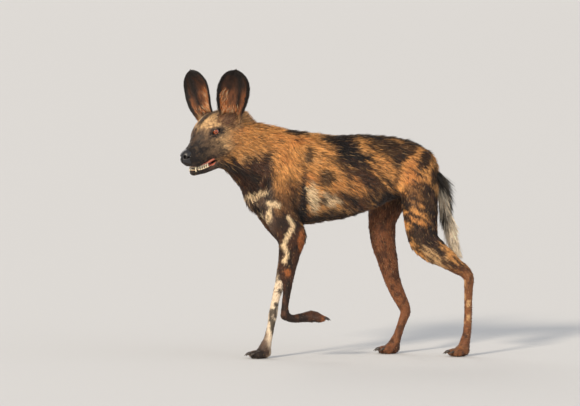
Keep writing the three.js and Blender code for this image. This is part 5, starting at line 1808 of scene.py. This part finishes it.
@dataclass
class Ear:
    """One ear: a thin rounded leaf curled into a cup, with hair inside and out."""

    name: str
    place: EarPlace
    columns: int = 60
    rows: int = 60
    short_tufts: int = 5200
    long_tufts: int = 260
    inner_length: float = 6.0
    outer_length: float = 8.0
    long_length: float = 17.0

    def leaf(self, across: Array, along: Array) -> Array:
        """Return points of the leaf in the ear's frame.

        Args:
            across: From -1 at one edge to 1 at the other.
            along: From 0 at the root to 1 at the tip.

        Returns:
            One point in each row.
        """
        wrap = 2.7 + (1.15 - 2.7) * smooth(0, 0.75, along)
        rounded = np.sqrt(maximum(0, 1 - maximum(0, (along - 0.5) / 0.5) ** 2.3))
        full = EAR_WIDTH * (0.8 + 0.2 * smooth(0, 0.45, along))
        half = full * maximum(rounded, 0.05)
        radius = full * 2 / wrap
        angle = across * half / radius
        back = 8 + 10 * along
        x = -np.cos(angle) * radius + radius * 0.62 + back - 12
        fold = np.exp(-(((across * self.place.side - 0.55) / 0.10) ** 2)) * smooth(0.95, 0.6, along)
        ripple = 1.2 * np.sin(across * 9 + along * 7) * smooth(0.1, 0.5, along)
        return stack([x + 3.0 * fold + ripple, np.sin(angle) * radius, along * self.place.length], 1)

    @staticmethod
    def wall(along: Array) -> Array:
        """Return half of the leaf's thickness, which falls towards the tip."""
        return (EAR_THICK - 1.5) * (1.35 - 0.6 * along) / 2

    def to_body(self, p: Array) -> Array:
        """Turn ear points into the body's frame."""
        return from_head(p @ self.place.basis() + self.place.root())

    def sheet(self) -> tuple[Array, Array, Array, Array]:
        """Return the leaf's grid: across, along, points and normals, in the ear's frame."""
        i = np.linspace(-1, 1, self.columns + 1)
        j = np.sin(np.linspace(0, 1, self.rows + 1) * pi / 2)
        along, across = (g.ravel() for g in np.meshgrid(j, i, indexing="ij"))
        return across, along, self.leaf(across, along), self.normal(across, along)

    def normal(self, across: Array, along: Array) -> Array:
        """Return the leaf's normals, towards the opening."""
        s = 0.004
        du = self.leaf(minimum(across + s, 1), along) - self.leaf(maximum(across - s, -1), along)
        dv = self.leaf(across, minimum(along + s, 0.998)) - self.leaf(across, maximum(along - s, 0) - 1e-3)
        return unit(np.cross(du, dv))

    @staticmethod
    def colour(across: Array, along: Array, inner: bool, p: Array, side: int) -> Array:
        """Colour the ear: black rim, tan hair inside with a black band of painted shade deep in the cup, dark
        brown back.
        """
        grain = noise(p, (6, 6, 12), 151)
        edge = maximum(np.abs(across), smooth(0.55, 1.0, along) * 1.05)
        out = np.tile((Hue.BROWN if not inner else Hue.CHESTNUT).light, (len(p), 1))
        if inner:
            out = paint(out,
                (Hue.BROWN, smooth(-0.3, 0.5, grain) * 0.8),
                (Hue.ORANGE, smooth(0.0, 0.6, noise(p, (11, 11, 30), 153)) * 0.25),
                (Hue.TAN, smooth(0.4, 0.08, along) * smooth(-0.3, 0.4, grain) * 0.6),
            )
            # Painted shade: a black band down the deep of the cup, where shade falls inside the ear.
            fold = np.exp(-(((across * side - 0.36) / 0.2) ** 2)) * smooth(0.02, 0.16, along)
            out = paint(out, (Hue.BLACK, fold * 0.95))
            top = smooth(0.44, 0.74, along + 0.14 * noise(p, (16, 16, 24), 155))
            return paint(out,
                (Hue.BLACK, top * 0.85),
                (Hue.BLACK, smooth(0.7, 0.85, edge + 0.1 * grain) * smooth(0.02, 0.25, along)),
            )
        return paint(out, (Hue.BLACK, smooth(0.5, 0.85, edge + 0.2 * grain) * 0.9))

    def build(self, finishes: Finishes) -> Object:
        """Make the closed leaf."""
        across, along, points, normal = self.sheet()
        thin = self.wall(along) * np.sqrt(clip(1 - across**8, 0.05, 1))
        front, back = points + normal * thin[:, None], points - normal * thin[:, None]
        wide = self.columns + 1
        a = (arange(self.rows)[:, None] * wide + arange(self.columns)).ravel()
        one = stack([a, a + 1, a + wide + 1], 1)
        two = stack([a, a + wide + 1, a + wide], 1)
        top = concatenate([one, two])
        count = len(points)
        rim = concatenate([
            arange(self.columns), arange(self.rows) * wide + self.columns,
            self.rows * wide + arange(self.columns, 0, -1), arange(self.rows, 0, -1) * wide,
        ])
        nxt = np.roll(rim, -1)
        wall = concatenate([stack([rim, rim + count, nxt + count], 1), stack([rim, nxt + count, nxt], 1)])
        faces = concatenate([top, top[:, ::-1] + count, wall])
        world = self.to_body(concatenate([front, back]))
        corner = world[faces]
        volume = np.einsum("ij,ij->i", corner[:, 0], np.cross(corner[:, 1], corner[:, 2])).sum()
        if volume < 0:
            faces = faces[:, ::-1]
        colours = concatenate([self.colour(across, along, k, points, self.place.side) for k in (True, False)])
        made = mesh_object(self.name + "_leaf", world, faces, colours)
        material = finishes.coat(self.name + "_skin", CoatFinish(bump=0.2), False)
        finish_piece(made, material, (self.name,))
        return made

    def hair(self, random: Generator) -> list[Tufts]:
        """Return the ear's tufts: short ones inside and out, and long ones from its front and root."""
        return [self._short(random, True), self._short(random, False), self._long(random)]

    def _tufts(self, across: Array, along: Array, way: Array, length: Array,
               width: float, inner: bool, colour: Array, stand: float) -> Tufts:
        """Set tufts on one face of the leaf."""
        p, normal = self.leaf(across, along), self.normal(across, along)
        out = normal if inner else -normal
        ahead = self.leaf(clip(across + 0.02 * way[:, 0], -1, 1), clip(along + 0.02 * way[:, 1], 0, 1)) - p
        lie = unit(unit(ahead) + stand * out)
        at = self.to_body(p + out * (self.wall(along) - 0.4)[:, None])
        turn = self.place.basis() @ HEAD
        size = stack([np.full(len(p), width), np.full(len(p), width), length], 1)
        tile = array([0.35, 0.68]) if inner else array([0.68, 0.68])
        u = (tile[0] + 0.3 * (across + 1) / 2)[:, None]
        v = (tile[1] + 0.3 * along)[:, None]
        return Tufts(at, lie @ turn, out @ turn, size, colour, concatenate([u, v, v * 0], 1))

    def _short(self, random: Generator, inner: bool) -> Tufts:
        """Short hair over one face."""
        count = self.short_tufts
        across = random.random(count) * 2 - 1
        along = np.sqrt(random.random(count) * 0.98 + 0.01) * 0.985
        way = stack([0.25 * np.sign(across) + 0.3 * random.standard_normal(count), np.ones(count)], 1)
        p = self.leaf(across, along)
        colour = self.colour(across, along, inner, p, self.place.side)
        colour = clip(colour * (1 + 0.2 * random.standard_normal(count))[:, None], 0.003, 1)
        length = (self.inner_length if inner else self.outer_length) * (0.7 + 0.6 * random.random(count))
        return self._tufts(across, along, way, length, 1.0, inner, colour, 0.28)

    def _long(self, random: Generator) -> Tufts:
        """Long pale hair that fans across the cup from its front edge and root."""
        count = self.long_tufts
        front = -self.place.side
        edge = random.random(count) < 0.45
        near, wide = 0.35 + 0.5 * random.random(count), random.random(count) * 1.5 - 0.75
        across = np.where(edge, front * near, wide)
        along = np.where(edge, 0.12 + 0.42 * random.random(count), 0.1 + 0.14 * random.random(count))
        lean = np.where(edge, -front * 0.7, 0) + 0.4 * random.standard_normal(count)
        way = stack([lean, np.ones(count)], 1)
        shade = (0.75 + 0.5 * random.random(count))[:, None]
        colour = np.where(random.random((count, 1)) < 0.35, Hue.CREAM.light, Hue.ORANGE.light) * shade
        length = self.long_length * (0.6 + 0.8 * random.random(count))
        return self._tufts(across, along, way, length, 0.9, True, clip(colour, 0, 1), 0.45)


def cone_rows(path: Array, radius: Array, squash: float, sides: int) -> tuple[Array, Array]:
    """Loft round sections along a path into a closed body with pointed ends.

    Args:
        path: The middle of each section.
        radius: The radius of each section.
        squash: The sections' height as a share of their width.
        sides: How many points a section has.

    Returns:
        Points and triangles.
    """
    ahead = unit(np.gradient(path, axis=0))
    side = unit(np.cross(ahead, array([0.01, 0.02, 1.0])))
    rise = np.cross(side, ahead)
    t = arange(sides) * 2 * pi / sides
    ring = (np.cos(t)[None, :, None] * side[:, None] + squash * np.sin(t)[None, :, None] * rise[:, None])
    points = (path[:, None] + ring * radius[:, None, None]).reshape(-1, 3)
    back, tip = path[:1] - ahead[:1] * radius[0] * 0.3, path[-1:] + ahead[-1:] * radius[-1]
    points = concatenate([points, back, tip])
    faces = []
    rows = len(path)
    for i in range(rows - 1):
        for k in range(sides):
            a, b = i * sides + k, i * sides + (k + 1) % sides
            faces += [(a, b + sides, b), (a, a + sides, b + sides)]
    first, last = rows * sides, rows * sides + 1
    for k in range(sides):
        m = (k + 1) % sides
        faces += [(first, k, m), (last, (rows - 1) * sides + m, (rows - 1) * sides + k)]
    return points, array(faces)


def joined(parts: list[tuple[Array, Array]]) -> tuple[Array, Array]:
    """Put several bodies into one list of points and triangles."""
    points, faces, total = [], [], 0
    for p, f in parts:
        points.append(p)
        faces.append(f + total)
        total += len(p)
    return concatenate(points), concatenate(faces)


@dataclass
class Mouth:
    """Teeth, gums and tongue, which show between the lips."""

    teeth: int = 9

    def _row(self, up: bool) -> list[tuple[Array, Array]]:
        """Return one row of teeth: incisors, a canine and side teeth on both sides."""
        edge = array(MOUTH_LOWER if up else MOUTH_UPPER, float)
        parts = []
        for side in (-1, 1):
            for k in range(self.teeth):
                canine = k == 3
                front = k < 3
                a = (99 - 1.3 * k) if front else 93 - (k - 3) * 7.4
                b = side * (2.0 + 3.7 * k if front else 13.0 + (k - 3) * 1.5)
                c = interp(a, *edge.T) + (-3.0 if up else 4.0)
                length = 15.0 if canine else 6.5 if front else 9.5
                wide = 3.0 if canine else 1.9 if front else 3.4
                t = np.linspace(0, 1, 7)
                way = 1 if up else -1
                path = stack([a - 3 * t**2 * canine, b + 0 * t, c + way * length * t], 1)
                if canine and up:
                    path[:, 0] += 5
                if not front and not canine:
                    wide *= 1.15
                radius = wide * (1 - t**1.6 * (0.92 if canine or front else 0.8)) + 0.12
                parts.append(cone_rows(path, radius, 0.72, 10))
        return parts

    def build(self, finishes: Finishes) -> None:
        """Make the teeth, gums and tongue."""
        points, faces = joined(self._row(True) + self._row(False))
        made = mesh_object("teeth", from_head(points), faces)
        finish_piece(made, finishes.bare(IVORY))
        gums = []
        for edge, lift, inset in ((MOUTH_UPPER, 4.2, 4.5), (MOUTH_LOWER, -3.6, 4.5)):
            a = np.linspace(-1, 1, 41)
            run = 101 - 84 * np.abs(a) ** 1.5
            half = interp(run, [10, 30, 52, 75, 93, 103], [34, 31, 25, 19, 13, 2]) - inset
            c = interp(run, *array(edge, float).T) + lift
            path = stack([run, np.sign(a) * half * smooth(0, 0.16, np.abs(a)), c], 1)
            gums.append(cone_rows(path, np.full(len(path), 4.0), 0.9, 12))
        points, faces = joined(gums)
        made = mesh_object("gums", from_head(points), faces)
        finish_piece(made, finishes.bare(GUM))
        t = np.linspace(0, 1, 30)
        path = stack([8 + 78 * t, 0 * t, -84 + 3.5 * np.sin(t * 2.6)], 1)
        radius = 19 * np.sqrt(clip(1 - t ** 3, 0.02, 1)) * (0.85 + 0.15 * t)
        points, faces = cone_rows(path, radius, 0.26, 28)
        made = mesh_object("tongue_flesh", from_head(points), faces)
        finish_piece(made, finishes.bare(TONGUE), ("tongue",))


@dataclass
class Claws:
    """The claws of all four feet."""

    length: float = 17.0
    radius: float = 3.3

    def build(self, finishes: Finishes) -> None:
        """Make a curved claw on each toe, in one piece."""
        parts = []
        for foot in FEET.values():
            for (x, y, z), size in foot.toes():
                t = np.linspace(0, 1, 9)
                front = x + foot.way * (size[0] - 5)
                rise = 2.0 if foot.lifted else 4.5
                path = stack([front + foot.way * self.length * t, y + 0 * t,
                                 z + rise - (1.5 * t + 7.5 * t**2)], 1)
                path[:, 2] = maximum(path[:, 2], 1.2)
                parts.append(cone_rows(path, self.radius * (1 - t**1.5) + 0.15, 1.1, 10))
        points, faces = joined(parts)
        made = mesh_object("claws", points, faces)
        finish_piece(made, finishes.bare(CLAW))


class LongHair:
    """The tail's brush and the shaggy throat, in long locks."""

    SEED = 29
    BRUSH_LOCKS, BRUSH_LENGTH, BRUSH_WIDTH = 3000, 74, 2.1
    THROAT_LOCKS, THROAT_LENGTH, THROAT_WIDTH = 3400, 42, 2.0

    def __init__(self, body: Body, markings: Markings) -> None:
        """Keep what the hair grows on."""
        self.body, self.markings = body, markings
        self.random = default_rng(self.SEED)

    def brush(self) -> Tufts:
        """Locks of the tail's brush, black at its root, white below."""
        random = self.random
        count = self.BRUSH_LOCKS
        path = Chain(TAIL[1:4] + BRUSH[1:])
        share = random.random(count) ** 0.9
        spot = share * path.run[-1]
        k = clip(np.searchsorted(path.run, spot) - 1, 0, len(path.length) - 1)
        t = (spot - path.run[k]) / path.length[k]
        centre = path.start[k] + path.along[k] * (t * path.length[k])[:, None]
        angle = random.random(count) * 2 * pi
        out = path.rise[k] * np.cos(angle)[:, None] + path.side[k] * np.sin(angle)[:, None]
        radius = (path.high[k] * 0.62) * (0.4 + 0.6 * random.random(count))
        at = centre + out * radius[:, None]
        clump = stack([noise(at, 18, 170 + j) for j in range(3)], 1)
        along = unit(path.along[k] + out * (0.10 + 0.16 * random.random(count))[:, None]
                     + 0.10 * clump + 0.05 * random.standard_normal((count, 3)))
        length = self.BRUSH_LENGTH * (0.7 + 0.5 * random.random(count)) * (1 - 0.35 * share)
        width = self.BRUSH_WIDTH * (0.8 + 0.5 * random.random(count))
        z = at[:, 2] + 14 * clump[:, 0]
        left = out[:, 1] < 0
        colour = np.tile(Hue.WHITE.light, (count, 1))
        rear = 22 * (out @ array([0.8, -0.4, 0]))
        dark = smooth(424, 452, z - rear + 8 * random.standard_normal(count))
        colour = paint(colour, (Hue.BLACK, dark * 0.95))
        pale = smooth(535, 520, z) * smooth(450, 470, z) * (out @ array([-0.75, -0.66, 0]) > 0.45)
        colour = paint(colour, (Hue.WHITE, pale * left))
        colour = clip(colour * (1 + 0.16 * random.standard_normal(count))[:, None], 0.003, 1)
        uv = stack([0.68 + 0.3 * share, 0.68 + 0.3 * angle / (2 * pi), 0 * share], 1)
        size = stack([width, width, length], 1)
        return Tufts(at, along, out, size, colour, uv)

    def throat(self) -> Tufts:
        """Locks that hang from the throat and the lower neck."""
        random = self.random
        count = self.THROAT_LOCKS
        t = random.random(count)
        low = array([-326.0, -20.0, 622.0])
        high = array([-196.0, 0.0, 545.0])
        start = low + (high - low) * t[:, None]
        down = unit(high - low)
        side = array([0.0, 1.0, 0.0])
        under = np.cross(side, down)
        under = -under if under[2] > 0 else under
        angle = (random.random(count) - 0.5) * 4.4
        out = under * np.cos(angle)[:, None] + side * np.sin(angle)[:, None]
        near, far = zeros(count), np.full(count, 170.0)
        for _ in range(22):
            middle = (near + far) / 2
            inside = self.body.skin(start + out * middle[:, None]) < 0
            near, far = np.where(inside, middle, near), np.where(inside, far, middle)
        at = start + out * near[:, None]
        normal = unit(slope(self.body.skin, at))
        clump = stack([noise(at, 20, 190 + j) for j in range(3)], 1)
        lie = down + array([0.0, 0.0, -0.35]) + 0.3 * clump + 0.1 * random.standard_normal((count, 3))
        lie = unit(lie - normal * (lie * normal).sum(1, keepdims=True))
        stand = (0.2 + 0.2 * np.cos(angle) + 0.14 * clump[:, 0]) * (1 - 0.6 * t)
        along = unit(lie + normal * stand[:, None])
        length = self.THROAT_LENGTH * (0.7 + 0.5 * random.random(count))
        length *= (0.7 + 0.3 * np.cos(angle)) * (1 - 0.35 * t)
        width = self.THROAT_WIDTH * (0.8 + 0.5 * random.random(count))
        colour = self.markings.colour(at + 4 * random.standard_normal(at.shape))
        colour = clip(colour * (1 + 0.22 * random.standard_normal(count))[:, None], 0.003, 1)
        uv = stack([(2.03 + 0.9 * t) / 3, (0.03 + 0.9 * (angle / 4.4 + 0.5)) / 3, 0 * t], 1)
        keep = to_head(at)[:, 0] < -24
        size = stack([width, width, length], 1)
        return Tufts(at - normal, along, normal, size, colour, uv).part(keep)

    def build(self, finishes: Finishes, planter: Planter) -> None:
        """Make the brush and the throat's locks."""
        material = finishes.coat("long_hair", CoatFinish(roughness=0.5, tip=0.25), True)
        made = planter.plant("brush_locks", self.brush(), material, True)
        finish_piece(made, material, ("tail_brush",))
        made = planter.plant("throat_locks", self.throat(), material, True)
        finish_piece(made, material)


@dataclass
class Studio:
    """The floor, the lights and the camera."""

    azimuth: float = -15.0
    elevation: float = 3.0
    distance: float = 15.0
    scale: float = 0.003
    frame: tuple[int, int] = (580, 406)
    origin: tuple[float, float] = (327.0, 357.0)
    floor_half: float = 400.0
    sensor: float = 36.0

    def build(self, finishes: Finishes) -> None:
        """Make everything round the dog."""
        self._floor(finishes)
        self._camera()
        self._lights()

    def _floor(self, finishes: Finishes) -> None:
        """Make the plain pale floor."""
        mesh = bpy.data.meshes.new("floor")
        half = self.floor_half
        corners = [(-half, -half, 0), (half, -half, 0), (half, half, 0), (-half, half, 0)]
        mesh.from_pydata(corners, [], [(0, 1, 2, 3)])
        floor = bpy.data.objects.new("floor", mesh)
        mesh.materials.append(finishes.floor())
        bpy.context.scene.collection.objects.link(floor)

    def _camera(self) -> None:
        """Set the camera at the photograph's angle and framing."""
        a, e = radians(self.azimuth), radians(self.elevation)
        right = array([cos(a), sin(a), 0.0])
        look = array([-sin(a) * cos(e), cos(a) * cos(e), -sin(e)])
        up = np.cross(right, look)
        across = (self.frame[0] / 2 - self.origin[0]) * self.scale
        rise = (self.origin[1] - self.frame[1] / 2) * self.scale
        target = -CENTRE * MM + right * across + up * rise
        camera = in_scene(bpy.data.objects.new("camera", bpy.data.cameras.new("camera")))
        camera.location = target - look * self.distance
        turn = Matrix([[right[k], up[k], -look[k]] for k in range(3)])
        camera.rotation_euler = turn.to_euler()
        camera.data.sensor_width = self.sensor
        camera.data.lens = self.sensor * self.distance / (self.frame[0] * self.scale)
        camera.data.clip_end = 900.0
        bpy.context.scene.camera = camera

    @staticmethod
    def _sun(name: str, way: tuple, power: float, tint: tuple, spread: float) -> None:
        """Make one soft distant light that shines along a direction."""
        light = bpy.data.lights.new(name, "SUN")
        light.energy, light.color, light.angle = power, tint, radians(spread)
        made = in_scene(bpy.data.objects.new(name, light))
        made.rotation_euler = Vector(way).to_track_quat("-Z", "Y").to_euler()

    def _lights(self) -> None:
        """Make a warm low key light from the camera's left, a weak fill and a pale surround."""
        self._sun("key", (0.62, 0.66, -0.42), 3.4, (1.0, 0.87, 0.7), 9)
        self._sun("fill", (-0.7, 0.6, -0.5), 0.5, (0.9, 0.94, 1.0), 60)
        self._sun("rim", (0.2, -0.9, -0.5), 0.8, (1.0, 0.95, 0.88), 40)
        world = bpy.data.worlds.new("surround")
        world.use_nodes = True
        world.node_tree.nodes["Background"].inputs["Color"].default_value = (0.9, 0.92, 0.96, 1)
        world.node_tree.nodes["Background"].inputs["Strength"].default_value = 0.55
        bpy.context.scene.world = world
        bpy.context.scene.view_settings.view_transform = "Standard"


def main() -> None:
    """Load the frame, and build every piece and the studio."""
    logging.basicConfig(level=logging.INFO, format="%(asctime)s %(name)s: %(message)s")
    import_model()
    finishes = Finishes()
    body = Body()
    markings = Markings(body)
    skin = Skin(body, markings)
    skin.build(finishes)
    planter = Planter()
    coat = Coat(body, markings, skin)
    coat.build(finishes, planter)
    LongHair(body, markings).build(finishes, planter)
    ear_hair = finishes.coat("ear_hair", CoatFinish(), True)
    for k, (side, place) in enumerate(EARS.items()):
        ear = Ear(f"ear_{side}", place)
        ear.build(finishes)
        random = default_rng(40 + k)
        for label, tufts in zip(("inner", "outer", "long"), ear.hair(random)):
            made = planter.plant(f"ear_{side}_{label}_hair", tufts, ear_hair)
            finish_piece(made, ear_hair)
    for side, name in ((1, "eye_left_ball"), (-1, "eye_right_ball")):
        Eye(side, name).build(finishes)
    Nose(body).build(finishes)
    Mouth().build(finishes)
    Claws().build(finishes)
    planter.clear()
    Studio().build(finishes)


if __name__ == "__main__":
    main()
